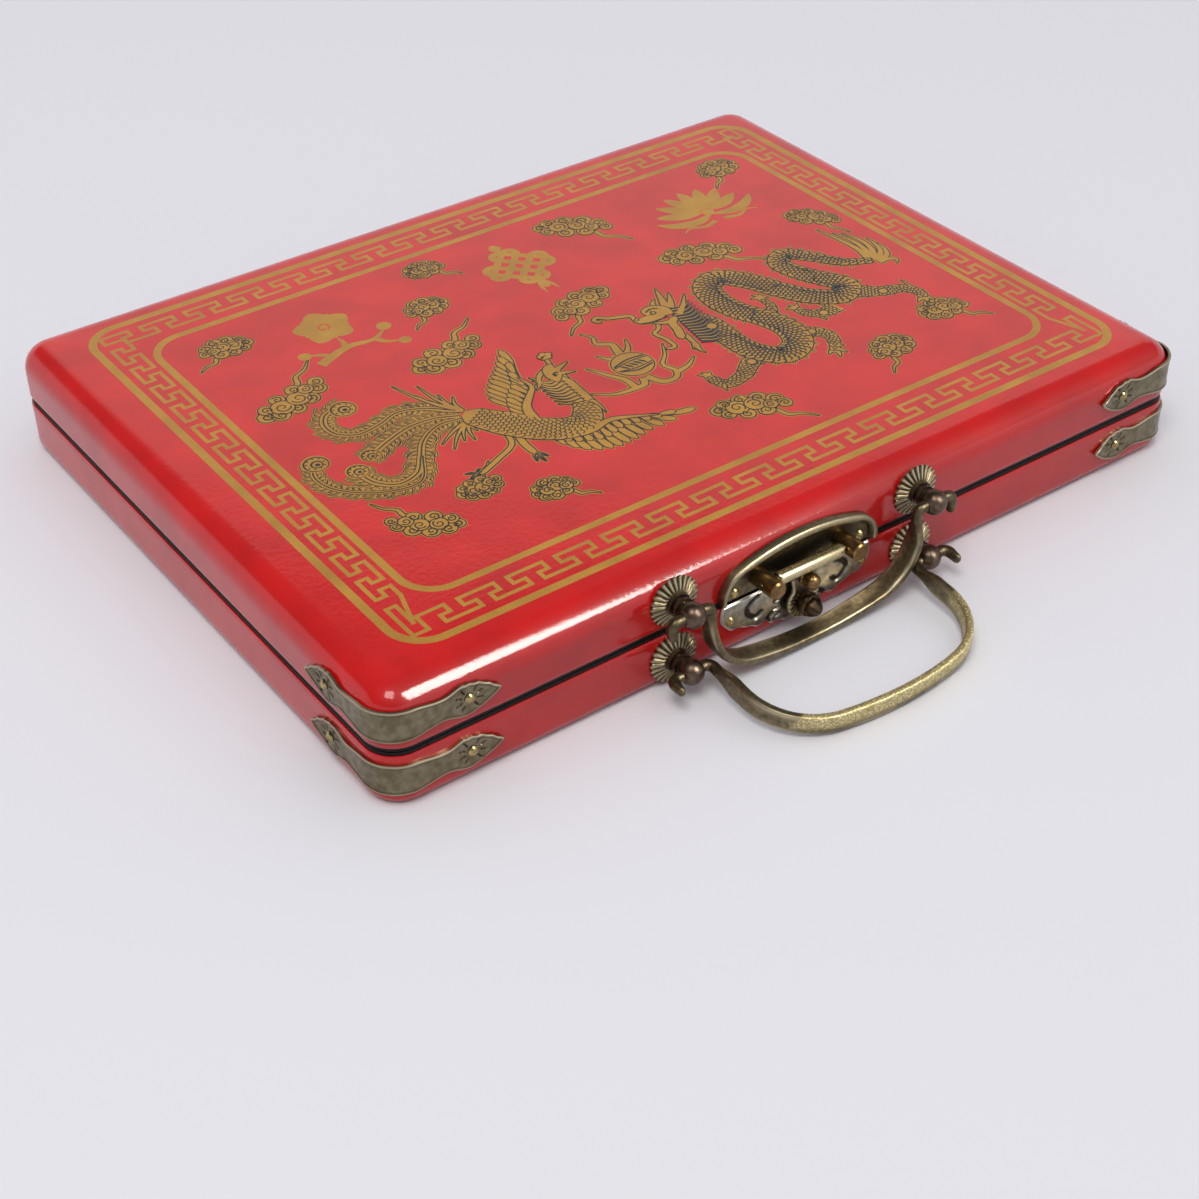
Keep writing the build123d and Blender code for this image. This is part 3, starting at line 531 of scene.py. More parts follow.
def base_skin():
    """The base's wrap: upright sides, a small round lower edge and a strip turned under."""
    end = base_top - rim_height
    side = [(0, height) for height in np.linspace(base_edge_radius, end - tuck_height, 8)[1:]]
    outer = round_edge(base_edge_radius, base_edge_radius, base_edge_radius, -90, 0, 7)
    inner = round_edge(
        base_edge_radius, base_edge_radius, base_edge_radius - wrap_thickness, 0, -90, 5
    )
    cut = [(edge_tuck, end), (wrap_thickness, end)]
    loop = [(turned_under, 0)] + outer + side + cut + inner + [(turned_under, wrap_thickness)]
    return (*closed_loop(plan_rings(loop)), 0, None)


for half_name, skin in (("lid", lid_skin()), ("base", base_skin())):
    make_piece(
        f"{half_name}_skin", half_name, [skin], [red_leatherette],
        [f"{half_name}_leatherette"],
    )


# --- Places on the walls ------------------------------------------------------
def on_front(along, up, out):
    """A place on the front wall, out from it."""
    along, up, out = np.broadcast_arrays(along, up, out)
    return np.stack([along, front_y - out, up], -1)


half_bend = corner_radius * pi / 4  # half the way round a corner


def round_corner(side):
    """Places along the front and round one corner onto the side wall.

    Along is 0 in the middle of the corner's bend, negative on the front wall and positive on
    the side wall.
    """
    centre = np.array([side * (case_length / 2 - corner_radius), front_y + corner_radius])

    def place(along, up, out):
        """The wall's face: straight, round a quarter of a circle, and straight on."""
        along, up, out = np.broadcast_arrays(along, up, out)
        bent = np.clip(along, -half_bend, half_bend)
        angle = bent / corner_radius + pi / 4
        normal = np.stack([side * np.sin(angle), -np.cos(angle)], -1)
        tangent = np.stack([side * np.cos(angle), np.sin(angle)], -1)
        straight = (along - bent)[..., None] * tangent
        flat = centre + (corner_radius + out[..., None]) * normal + straight
        return np.concatenate([flat, up[..., None]], -1)

    return place


edge_spacing = 0.12  # the share of the half wave that is left out at a sheet's edges


def stamped_plate(lower, upper, place, back, front, age, across):
    """A sheet between a lower and an upper edge, each a row of (along, up) points.

    At each station a closed section runs over the front from edge to edge, its points spaced
    by a half wave so that they crowd at the edges, and back behind it. back, front and age are
    functions of the places on the sheet.
    """
    t = edge_spacing + (1 - 2 * edge_spacing) * np.linspace(0, 1, across)
    t = 0.5 - 0.5 * np.cos(pi * t) / cos(edge_spacing * pi)
    over = lower[:, None] * (1 - t[:, None]) + upper[:, None] * t[:, None]
    behind = over[:, ::-1]
    height = front(over)
    grid = np.concatenate(
        [
            place(over[..., 0], over[..., 1], height),
            place(behind[..., 0], behind[..., 1], back(behind)),
        ],
        1,
    )
    front_age = age(over, height)
    full_age = np.concatenate([front_age, np.zeros_like(front_age)], 1).reshape(-1, 3)
    return (*closed_rings(grid), 0, full_age)


def level_back(out):
    """A sheet's back at one distance out from the wall."""
    return lambda places: np.full(places.shape[:-1], out)


def off_ray(places, middle, spacing):
    """How far places lie off the nearest ray about a middle, how far from it, and how far up.

    The rays start straight down and are evenly spaced; the first is the distance to the middle
    times the sine of the angle to the nearest one.
    """
    apart = places - middle
    far = np.hypot(apart[..., 0], apart[..., 1])
    turn = np.arctan2(apart[..., 0], -apart[..., 1])
    return np.abs(far * np.sin((turn + spacing / 2) % spacing - spacing / 2)), far, apart[..., 1]


# --- Corner straps ------------------------------------------------------------
strap_pin_along = 21.5 - corner_radius + half_bend
strap_from_parting = 7.3
strap_rays = np.radians([-54, -18, 18, 54])


def past(reach):
    """A reach from the corner's two flat faces, measured from the middle of the bend instead."""
    return reach - corner_radius + half_bend


# Half widths along one arm: the bend, the neck, the leaf, its shoulder and its tip.
strap_reaches = [0, half_bend, past(15.5), past(20.5), past(25), past(28.2), past(29.1)]
strap_half_widths = [4.1, 3.9, 3.0, 4.3, 3.1, 0.9, 0.1]


def corner_strap(side, height):
    """A stamped strap round a corner: a waisted band that swells to a leaf at each end.

    Its half width follows a curve through the neck, the leaf and the shoulder, and the upper
    edge of each leaf has three small lobes. Four rays are stamped on each side of a pin.
    """
    shape = smooth_curve(np.stack([strap_reaches, strap_half_widths], -1), 90)
    along = np.concatenate([-shape[:0:-1, 0], shape[:, 0]])
    width = np.concatenate([shape[:0:-1, 1], shape[:, 1]]).clip(0.08)
    arm = np.abs(along)
    leaf_zone = smooth_step(past(19), past(21), arm) * smooth_step(past(29), past(27), arm)
    lobes = 0.28 * leaf_zone * np.abs(np.sin(1.25 * (arm - past(19))))
    lower = np.stack([along, height - width], -1)
    upper = np.stack([along, height + width * (1 - 0.03 * leaf_zone) - lobes], -1)
    outline = np.concatenate([lower, upper])

    def rays(places):
        """1 along each ray about a pin, gone 0.3 mm beside it."""
        marks = np.zeros(places.shape[:-1])
        for pin in ((-strap_pin_along, height), (strap_pin_along, height)):
            apart = places - pin
            far = np.hypot(apart[..., 0], apart[..., 1])
            turn = np.arctan2(apart[..., 1], np.abs(apart[..., 0]))
            reached = smooth_step(1.7, 2.0, far) * smooth_step(3.9, 3.3, far)
            for angle in strap_rays:
                off = np.abs(far * np.sin(turn - angle))
                marks = np.maximum(marks, reached * smooth_step(0.3, 0.14, off))
        return marks

    def lift(places):
        """The tips of the leaves stand off the wall by 0.55 mm."""
        return 0.55 * smooth_step(past(24), past(29), np.abs(places[..., 0]))

    def front(places):
        """A rim 0.8 mm high with a round edge, a field 0.18 mm lower, rays cut 0.28 mm deep."""
        edge = distance_to(places, outline)
        rim = 0.62 + 0.18 * smooth_step(0, 0.35, edge)
        dish = 0.18 * smooth_step(0.45, 0.9, edge)
        return rim - dish + lift(places) - 0.28 * rays(places)

    def age(places, out):
        """Bright along the edge; grime in the rays and in a line inside the rim."""
        edge = distance_to(places, outline)
        worn = smooth_step(0.5, 0.2, edge)
        line = smooth_step(0.45, 0.6, edge) * smooth_step(0.95, 0.75, edge)
        return np.stack([worn, np.maximum(rays(places), 0.55 * line), 0 * worn], -1)

    return stamped_plate(
        lower, upper, round_corner(side), lambda places: -0.05 + lift(places), front, age, 30
    )


for half_name, above in halves:
    for side_name, side in sides:
        make_piece(
            f"{half_name}_strap_{side_name}", half_name,
            [corner_strap(side, parting_z + above * strap_from_parting)], [strap_brass],
            [f"{half_name}_corner_strap_{side_name}"],
        )


# --- Turned and stamped round pieces ------------------------------------------
def turned(profile, x, z, columns, shape=None):
    """A profile of (radius, out) places turned about an axis square to the front wall.

    shape(radius, out, angle) may move the points, for petals and facets.
    """
    radius, out = np.array(profile, float).T
    angle = np.linspace(0, 2 * pi, columns, endpoint=False)
    radius, out, angle = np.broadcast_arrays(radius[:, None], out[:, None], angle)
    if shape:
        radius, out = shape(radius, out, angle)
    return closed_rings(on_front(x + radius * np.cos(angle), z + radius * np.sin(angle), out))


rosette_radius = 6.5
boss_radius = 2.3  # the plain middle that the post covers
petals = 24
eye_out = 7.0
eye_half_spacing = 36.0
post_rise = 8.0


def rosette(x, z):
    """A stamped daisy: a low dome of raised ribs, a scalloped rim and a flat seat.

    The height is the dome plus ribs that follow the size of cos(12 * angle), highest half way
    out; the radius at the rim dips between the petals.
    """
    steps = np.linspace(0, 1, 18)
    radius = boss_radius + (rosette_radius - boss_radius) * steps
    dome = 1.6 - 1.05 * smooth_step(0.1, 1.05, steps)
    seat = [(rosette_radius, 0.1), (5.4, 0.0), (0.6, 0.0)]
    profile = [(0.6, 1.6), (1.8, 1.6)] + list(zip(radius, dome)) + seat

    def ribbed(radius, out, angle):
        """Raise the ribs on the dome and draw the rim in between the petals."""
        rib = np.abs(np.cos(petals / 2 * angle)) ** 0.8
        zone = smooth_step(2.8, 3.6, radius)
        rise = zone * (0.42 * rib - 0.3) * smooth_step(7.2, 5.6, radius)
        scallop = 0.42 * (1 - rib) * smooth_step(5.0, rosette_radius, radius)
        return radius - scallop, np.clip(out + np.where(out > 0.3, rise, 0), 0, 1.75)

    points, faces = turned(profile, x, z, petals * 8, ribbed)
    apart = points - on_front(x, z, 0)
    far = np.hypot(apart[:, 0], apart[:, 2])
    rib = np.abs(np.cos(petals / 2 * np.arctan2(apart[:, 2], apart[:, 0])))
    zone = smooth_step(2.8, 3.6, far)
    worn = zone * smooth_step(0.72, 0.95, rib) * 0.9
    grime = zone * smooth_step(0.5, 0.15, rib) * 0.75
    return points, faces, 0, np.stack([worn, grime, 0 * worn], -1)


for half_name, above in halves:
    for side_name, side in sides:
        daisy = rosette(hardware_x + side * eye_half_spacing, parting_z + above * post_rise)
        make_piece(
            f"{half_name}_daisy_{side_name}", half_name, [daisy], [antique_brass],
            [f"{half_name}_rosette_{side_name}"],
        )


# --- Bail handles -------------------------------------------------------------
wire_radius = 1.4
wire_reach_out = 5.6
wire_hook = 5.2
wire_bend = 1.7
strip_half_thickness = 1.1
strip_half_width = 2.8
leg = eye_half_spacing - 5.2
grip_arc_radius = 90.0
lid_bail_depth, lid_bail_corner = 21.4, 14.0
base_bail_depth, base_bail_corner = 31.0, 17.0
bail_step = 0.42  # between the sections along a bail


def bail_line(depth, corner, grip):
    """The right half of a handle's middle line, from its hooked end to the middle of the grip.

    A tail, a bend, a run through the eye, a bend, a straight leg, a corner arc and half of the
    long grip arc, every one tangent to the next.
    """
    outer = eye_half_spacing + wire_reach_out
    grip_centre = depth - grip
    inner = leg - corner
    rise = sqrt((grip - corner) ** 2 - inner**2)
    turn = np.degrees(atan2(inner, rise))
    return np.concatenate([
        [(outer, wire_hook)],
        arc((outer - wire_bend, wire_bend), wire_bend, 0, -90, 10),
        arc((leg + wire_bend, wire_bend), wire_bend, 270, 180, 10),
        arc((inner, grip_centre + rise), corner, 0, 90 - turn, 24),
        arc((0, grip_centre), grip, 90 - turn, 90, 40)[1:],
    ])


def bail(eye_z, lean, depth, corner, polished_with_highlight):
    """A forged handle: a superellipse section carried along its line.

    The section is round in the wire and a rounded flat strip in the grip: each half axis
    follows the distance from the eyes. The hammered faces wander by 0.06 mm.
    """
    half = bail_line(depth, corner, grip_arc_radius)
    line = np.concatenate([half, half[-2::-1] * (-1, 1)])
    at = np.arange(0, reaches(line)[-1], bail_step)
    line = places_at(line, at)
    down = line[:, 1]
    tail = np.abs(line[:, 0]) > eye_half_spacing + 3.2
    grip_down = np.where(tail, 0, down)
    body = smooth_step(2.2, 9.5, grip_down)
    flat = smooth_step(1.2, 4.0, np.where(tail, down, 0))
    end = np.minimum(at, at[-1] - at)
    round_end = np.sqrt(np.clip(1 - (1 - np.clip(end / 1.5, 0, 1)) ** 2, 0.004, 1))
    thick = wire_radius - (wire_radius - strip_half_thickness) * smooth_step(2.0, 5.0, grip_down)
    thick = thick * (1 - 0.3 * flat) * round_end
    wide = (wire_radius + (strip_half_width - wire_radius) * body) * round_end
    wide = wide * (1 - 0.04 * (1 - np.cos(at / 6.1)))
    angle = np.linspace(0, 2 * pi, 28, endpoint=False)[None]
    c, s = np.cos(angle), np.sin(angle)
    power = 2 + 2.2 * body
    sharp = (2 / power)[:, None]
    a = np.sign(c) * np.abs(c) ** sharp * thick[:, None]
    b = np.sign(s) * np.abs(s) ** sharp * wide[:, None]
    along = at[:, None]
    dent = 0.06 * body[:, None] * (np.sin(along / 2.3 + 3 * s) + np.sin(along / 1.1 + 5 * c)) / 2
    a = a * (1 - np.abs(dent))
    away = np.array([0, -sin(radians(lean)), -cos(radians(lean))])
    right = np.array([1.0, 0, 0])
    square = np.cross(right, away)
    origin = np.array([hardware_x, front_y - eye_out, eye_z])
    side = left_of(directions(line))
    flat_side = side[:, :1] * right + side[:, 1:] * away
    middle = origin + line[:, :1] * right + line[:, 1:] * away
    grid = middle[:, None] + a[..., None] * flat_side[:, None] + b[..., None] * square
    worn = np.abs(np.sin(2 * angle)) ** 2 * body[:, None] * (0.55 + 0.45 * np.sin(along / 3.7))
    grime = 0.35 * (1 - smooth_step(2.0, 7.0, down))[:, None] * np.ones_like(angle)
    polish_and_highlight = np.zeros_like(worn)
    if polished_with_highlight:  # the front face is polished, with a painted highlight, from a slanting line on
        slant = smooth_step(0, 0.5, line[:, :1] + 0.6 * b + 27)
        polish_and_highlight = slant * smooth_step(13, 15, down)[:, None] * smooth_step(-0.25, 0.05, -s)
    return (*closed_rings(grid), 0, np.stack([worn, grime, polish_and_highlight], -1).reshape(-1, 3))


# The base's bail leans forward until the lower edge of its grip clears the floor.
floor_clearance = 0.15
base_post_z = parting_z - post_rise
grip_reach = base_bail_depth + strip_half_thickness
grip_swing = hypot(grip_reach, strip_half_width)
lean_forward = 90 - np.degrees(np.arcsin((base_post_z - floor_clearance) / grip_swing))
lean_forward += np.degrees(np.arcsin(strip_half_width / grip_swing))
for half_name, handle in (
    ("lid", bail(parting_z + post_rise, 0, lid_bail_depth, lid_bail_corner, False)),
    ("base", bail(base_post_z, lean_forward, base_bail_depth, base_bail_corner, True)),
):
    make_piece(
        f"{half_name}_handle", f"{half_name}_bail", [handle], [antique_brass],
        [f"{half_name}_handle_bail"],
    )


# --- Latch plates -------------------------------------------------------------
plate_thickness = 0.8
plate_gap = 0.4  # between a plate's straight edge and the parting line's edge
plate_back = level_back(-0.03)
upper_reach = 23.2
upper_height = 11.6
crown_rim_height = 1.55
lower_reach = 22.6
lower_drop = 12.4
rod_z = lid_bottom + 4.3
rod_out = 4.5
head_drop = 11.2  # from the rod down to the middle of the tongue's head


def crown(reach, height, count):
    """The half-lens's upper edge, left to right: a long low arc and a tighter arc at each end.

    The long arc goes through the two shoulders and the top; each end arc leaves it at a
    shoulder in the same direction and comes down to the straight edge.
    """
    shoulder = np.array([0.765 * reach, 0.75 * height])
    centre = (height**2 - (shoulder**2).sum()) / (2 * (height - shoulder[1]))
    long_radius = height - centre
    inward = (np.array([0, centre]) - shoulder) / long_radius
    gap = np.array([reach, 0]) - shoulder
    short_radius = (gap @ gap) / (2 * gap @ inward)
    short_centre = shoulder + inward * short_radius
    start = atan2(*(-inward)[::-1])
    end = atan2(-short_centre[1], reach - short_centre[0])
    angle = np.linspace(end, start, count // 4)
    right_end = short_centre + short_radius * np.stack([np.cos(angle), np.sin(angle)], -1)
    angle = np.linspace(start, pi - start, count)[1:-1]
    top = np.array([0, centre]) + long_radius * np.stack([np.cos(angle), np.sin(angle)], -1)
    return np.concatenate([right_end, top, right_end[::-1] * (-1, 1)])[::-1]


def upper_latch_plate():
    """A half lens with a smooth raised rim along its crown.

    The rim is a half ellipse over the distance to the crown, a little fuller. It comes down to the
    plate 2.25 mm in, and 1.5 mm in towards the ends.
    """
    edge = crown(upper_reach, upper_height, 90)
    along = np.clip(edge[:, 0], -upper_reach + 0.02, upper_reach - 0.02)
    shift = np.array([hardware_x, lid_bottom + plate_gap])
    upper, lower = edge + shift, np.stack([along, 0 * along], -1) + shift

    def across_rim(places):
        """0 at the crown and 1 where the rim meets the plate."""
        off_middle = np.abs(places[..., 0] - hardware_x)
        near_end = smooth_step(upper_reach, upper_reach * 0.6, off_middle)
        return distance_to(places, upper) / (1.5 + 0.75 * near_end)

    def front(places):
        """The plate, bevelled by 0.25 mm along its straight edge, and the rim on it."""
        across = across_rim(places)
        rim = np.sqrt(np.clip(1 - ((across - 0.45) / 0.55) ** 2, 0, 1))
        bevel = 0.25 * smooth_step(0.4, 0, places[..., 1] - shift[1])
        return plate_thickness - bevel + crown_rim_height * rim**0.8 * (across < 1)

    def age(places, out):
        """Worn on the rim's crest; grime at the rim's foot and painted shade over the middle of the
        field.
        """
        across = across_rim(places)
        height = places[..., 1] - shift[1]
        on_rim = smooth_step(0.35, 0.75, (out - plate_thickness) / 1.6)
        worn = 0.5 * on_rim * smooth_step(1.0, 0.6, across)
        # painted shade: the middle of the field, above its lowest millimetres, is darkened nearly
        # to black
        field = smooth_step(20, 14, np.abs(places[..., 0] - hardware_x))
        painted_field_shade = 0.8 * smooth_step(1.5, 4.0, height) * field
        # the grime column here holds the rim foot's grime and the painted shade of the field
        grime = np.maximum(0.6 * smooth_step(1.5, 1.1, across), painted_field_shade)
        return np.stack([worn, grime * smooth_step(0.9, 1.05, across), 0 * worn], -1)

    return stamped_plate(lower, upper, on_front, plate_back, front, age, 56)


# The keeper's lower edge from the middle to one end, and its curl and notch, in shares of its
# reach and drop.
keeper_edge = [
    (0, 1.0), (0.1, 0.985), (0.22, 0.93), (0.32, 0.9), (0.42, 0.8), (0.5, 0.82), (0.62, 0.74),
    (0.74, 0.66), (0.84, 0.63), (0.93, 0.52), (1.0, 0.17), (0.975, 0.01),
]
keeper_curl = [(0.52, -0.1), (0.6, -0.17), (0.66, -0.3), (0.63, -0.46), (0.54, -0.56), (0.48, -0.5)]
keeper_notch = [(0.33, -0.66), (0.38, -0.74), (0.36, -0.84)]


def lower_latch_plate():
    """A stamped keeper: a straight top, a scrolled lower edge, two curls and a fan of rays.

    The curls are grooves that follow the distance to their middle lines.
    """
    half = smooth_curve(keeper_edge, 110) * (lower_reach, -lower_drop)
    half[:, 1] += 0.16 * np.sin(half[:, 0] * 1.55) * smooth_step(0, 4, half[:, 0])
    shift = np.array([hardware_x, base_top - plate_gap])
    edge = np.concatenate([half[:0:-1] * (-1, 1), half])
    along = np.clip(edge[:, 0], -0.97 * lower_reach, 0.97 * lower_reach)
    lower, upper = edge + shift, np.stack([along, 0 * along], -1) + shift
    outline = np.concatenate([lower, upper])
    curl = np.concatenate([
        smooth_curve(places, count) * (side * lower_reach, lower_drop) + shift
        for _, side in sides
        for places, count in ((keeper_curl, 40), (keeper_notch, 16))
    ])
    knob = shift + (0, rod_z - head_drop - shift[1])

    def marks(places):
        """1 in the curls and notches, and 0.8 on a fan of rays round the tongue's head."""
        cut = smooth_step(0.85, 0.55, distance_to(places, curl))
        off, far, up = off_ray(places, knob, pi / 9)
        fan = smooth_step(0.35, 0.2, off) * smooth_step(5.2, 5.5, far) * smooth_step(7.4, 6.9, far)
        return np.maximum(cut, 0.8 * (fan * (up < 3.5)))

    def front(places):
        """0.4 mm high at the edge and 0.8 mm inside it, with the marks cut 0.5 mm deep."""
        edge = distance_to(places, outline)
        return 0.4 + 0.4 * smooth_step(0, 0.5, edge) - 0.5 * marks(places)

    def age(places, out):
        """Bright along the edge, dark in the marks."""
        edge = distance_to(places, outline)
        return np.stack([smooth_step(0.8, 0.2, edge), marks(places), 0 * edge], -1)

    return stamped_plate(lower, upper, on_front, plate_back, front, age, 60)


make_piece(
    "upper_latch_plate", "lid", [upper_latch_plate()], [antique_brass], ["latch_upper_plate"],
)
make_piece(
    "lower_latch_plate", "base", [lower_latch_plate()], [plate_brass], ["latch_lower_plate"],
)

# --- Latch tongue -------------------------------------------------------------
barrel_half = 9.6
barrel_radius = 1.7
tongue_back = 2.45
tongue_front = 3.35
tongue_tip = 15.9
head_radius = 4.6


def tongue_barrel():
    """The rolled barrel: a tube about the rod, with rounded lips at both ends.

    Its seam is a shallow bell-shaped dip in the radius on one side.
    """
    along = np.array([-1, -1, -0.975, -0.94, 0.94, 0.975, 1, 1]) * barrel_half
    radius = np.array([1.1, 1.45, 1.64, barrel_radius, barrel_radius, 1.64, 1.45, 1.1])
    angle = np.linspace(0, 2 * pi, 40, endpoint=False)[None]
    seam = 1 - 0.05 * np.exp(-(((angle - 1.9 * pi + pi) % (2 * pi) - pi) / 0.12) ** 2)
    r = radius[:, None] * seam
    up, out = rod_z + r * np.sin(angle), rod_out + r * np.cos(angle)
    grid = on_front(hardware_x + along[:, None], up, out)
    worn = np.repeat(np.abs(along) > 0.93 * barrel_half, angle.size)
    return (*closed_loop(grid), 0, np.stack([worn * 0.6, 0 * worn, 0 * worn], -1))


def tongue_plate():
    """The tongue: full width at the barrel, a waist, a round head and a pointed tip.

    Its half width is the larger of a curve down to the waist and the head's circle.
    """
    drop = np.linspace(0.6, tongue_tip, 90)
    neck = np.interp(
        drop, [0, 1.7, 2.8, 4.2, 6.6, head_drop, tongue_tip], [9.5, 9.5, 5.4, 3.7, 3.2, 3.2, 0.08]
    )
    head = np.sqrt(np.clip(head_radius**2 - (drop - head_drop) ** 2, 0, None))
    half = np.maximum(neck, head)
    lower = np.stack([hardware_x - half, rod_z - drop], -1)
    upper = np.stack([hardware_x + half, rod_z - drop], -1)
    outline = np.concatenate([lower, upper])
    middle = np.array([hardware_x, rod_z - head_drop])

    def rays(places):
        """1 along each of the rays round the head's middle, all but the topmost."""
        off, far, up = off_ray(places, middle, pi / 10)
        ring = smooth_step(2.6, 3.0, far) * smooth_step(4.5, 4.1, far)
        return smooth_step(0.28, 0.14, off) * ring * (up < 2.5)

    def front(places):
        """0.55 mm thick at the edge and 0.9 mm inside it, with the rays cut 0.3 mm deep."""
        edge = distance_to(places, outline)
        return tongue_back + 0.55 + 0.35 * smooth_step(0, 0.45, edge) - 0.3 * rays(places)

    def age(places, out):
        """Bright along the edge, dark in the rays."""
        edge = distance_to(places, outline)
        return np.stack([smooth_step(0.6, 0.15, edge), rays(places), 0 * edge], -1)

    points, faces, _, worn = stamped_plate(
        lower, upper, on_front, level_back(tongue_back), front, age, 40
    )
    return points, faces, 1, worn


# How both knobs are riveted into the tongue: (radius, out) from the back to its front.
rivet = [(0.5, tongue_back), (0.9, tongue_back), (0.9, tongue_front)]


def dome_knob():
    """A stubby pin with a groove at its foot and a domed end, an arc of radius 1.4 mm."""
    radius = 1.9
    bend = tongue_front + 2.8
    groove = [(1.75, 0), (1.9, 0.15), (1.9, 0.6), (1.72, 0.75), (1.72, 0.95), (1.9, 1.1)]
    profile = rivet + [(r, tongue_front + out) for r, out in groove] + [(radius, bend)]
    angle = np.radians(np.linspace(8, 82, 9))
    profile += list(zip(radius * np.cos(angle), bend + 1.4 * np.sin(angle)))
    return (*turned(profile, hardware_x, rod_z - 4.2, 40), 0, None)


def acorn_knob():
    """An acorn: a stem, a cup with a rounded lip, and a nut of eight facets to a blunt point.

    A facet's radius is the round radius times cos(22.5 deg) / cos(angle from its middle).
    """
    cup = tongue_front + 0.9
    stem = [(1.9, tongue_front), (1.9, cup)]
    nut = [
        (2.75, 0), (2.95, 0.2), (3.0, 0.7), (3.0, 1.3), (2.85, 1.65), (2.5, 1.8), (2.45, 1.85),
        (2.5, 2.0), (2.52, 2.3), (2.3, 3.1), (1.75, 3.9), (0.95, 4.6), (0.4, 4.92),
    ]
    profile = rivet + stem + [(r, cup + out) for r, out in nut]

    def faceted(radius, out, angle):
        """Cut flats on the nut, which starts above the cup."""
        facet = cos(pi / 8) / np.cos((angle % (pi / 4)) - pi / 8)
        return np.where(out > cup + 1.9, radius * facet, radius), out

    return (*turned(profile, hardware_x, rod_z - head_drop, 64, faceted), 0, None)


# the barrel takes the brighter brass and the tongue the darker one: one sheet painted as lit and as
# shaded
make_piece(
    "latch_tongue_and_barrel", "latch_tongue", [tongue_barrel(), tongue_plate()],
    [bright_brass, antique_brass], ["latch_tongue"],
)
make_piece(
    "latch_dome", "latch_tongue", [dome_knob()], [copper_bronze], ["latch_dome_knob"]
)
make_piece(
    "latch_acorn", "latch_tongue", [acorn_knob()], [acorn_bronze], ["latch_acorn_knob"],
    25.0,
)


# --- Print --------------------------------------------------------------------
# Every line of ink is a closed flat strip. Levels are 3.6 microns apart, so that higher ones
# cover lower ones, and the strips of one level take turns at eight heights 0.4 microns apart, so
# that neighbours don't share a plane. Each strip's bottom is just inside the skin.
ink_foot = skin_top - 0.004
ink_head = skin_top + 0.006
ink_step = 0.0036
ink_shift = 0.0004
ink_shifts = 8
rim_margin = 0.6  # gold that shows outside an element's dark line
line_margin = 0.34  # the dark line round its gold middle
GOLD, DARK = 0, 1


def ink_height(level):
    """A level's height: one step above the one below it."""
    return ink_head + ink_step * level


def strips(sheet, curves, half_widths, level, ink):
    """Ink along curves: each point is moved to both sides by its half width.

    A strip's section has four corners, two at its level and two in the skin.
    """
    curves = np.asarray(curves, float)
    if curves.ndim == 2:
        curves = curves[None]
    many, count = curves.shape[:2]
    half = np.broadcast_to(half_widths, (many, count))[..., None]
    along = np.gradient(curves, axis=1)
    along /= np.maximum(np.sqrt((along**2).sum(-1, keepdims=True)), 1e-9)
    side = left_of(along) * half
    section = np.stack([curves + side, curves - side, curves - side, curves + side], 2)
    shift = (len(sheet) * 3 + np.arange(many)) % ink_shifts * ink_shift
    top = np.broadcast_to((ink_height(level) + shift)[:, None, None], (many, count, 2))
    height = np.concatenate([top, np.full((many, count, 2), ink_foot)], 2)[..., None]
    points = np.concatenate([section, height], -1).reshape(-1, 3)
    ends = np.array([[0, 3, 2, 1], np.arange(4) + 4 * (count - 1)])
    one = np.concatenate([grid_faces(count, 4), ends])
    faces = (one + 4 * count * np.arange(many)[:, None, None]).reshape(-1, 4)
    sheet.append((points, faces, ink, None))


print_middle = np.array([2.5, 0.8])  # the print was laid a little off the lid's middle
drawing_middle = (910, 710)
units_per_mm = (7.44, 7.75)


def print_place(places):
    """Drawing units to millimetres on the lid: u runs to the right, v down from the back."""
    places = np.asarray(places, float)
    u = (places[..., 0] - drawing_middle[0]) / units_per_mm[0]
    v = (drawing_middle[1] - places[..., 1]) / units_per_mm[1]
    return np.stack([u, v], -1) + print_middle


def traced(places, count):
    """A smooth line through places in drawing units."""
    return smooth_curve(print_place(places), count)


# Half widths along an element, as shares of its fullest half width.
def feather(t):
    """Narrow at the root, widest past the middle, with a rounded tip."""
    return (0.35 + 0.65 * t) * np.sqrt(np.clip(1 - t**6, 0.02, 1))


def taper(t):
    """Full width at the root, falling to a point."""
    return np.clip(1 - t, 0, 1) ** 0.75 + 0.02


def leaf(t):
    """Pointed at both ends: a flattened half wave of a sine."""
    return np.sin(pi * np.clip(t, 0.01, 0.99)) ** 0.7


def band(t):
    """An even width with rounded ends."""
    return np.sqrt(np.clip(1 - np.abs(2 * t - 1) ** 12, 0.03, 1))


def brushed(sheet, line, half_width, shape, level, ink=GOLD, spare=0.0):
    """One stroke along a line: a shape's half width, and a little to spare all along."""
    strips(sheet, line, half_width * shape(np.linspace(0, 1, len(line))) + spare, level, ink)


def drawn(sheet, places, half_width, shape, level, count=14, rim=True):
    """One outlined element: a gold rim, a dark line inside it and a gold middle."""
    line = smooth_curve(places, count)
    half = half_width * shape(np.linspace(0, 1, count))
    away = line[[0, -1]] - line[[1, -2]]
    away /= np.maximum(np.hypot(*away.T)[:, None], 1e-9)
    for margin, at_level, ink in ((rim_margin, 0, GOLD), (line_margin, level, DARK)):
        if ink == GOLD and not rim:
            continue
        longer = np.concatenate([line[:1] + away[:1] * margin, line, line[-1:] + away[1:] * margin])
        wider = np.concatenate([[margin * 0.5], half + margin, [margin * 0.5]])
        strips(sheet, longer, wider, at_level, ink)
    strips(sheet, line, half, level + 1, GOLD)


def sketched(sheet, elements):
    """Outlined elements from a table: places in drawing units, half width, shape, level, count."""
    for places, *rest in elements:
        drawn(sheet, print_place(places), *rest)


def outlined(sheet, line, width, dark_level, gold_level):
    """A body along a line: a gold rim, a dark line and a gold middle, cut square at its ends."""
    strips(sheet, line, width + rim_margin, 0, GOLD)
    strips(sheet, line, width + line_margin, dark_level, DARK)
    strips(sheet, line, width, gold_level, GOLD)


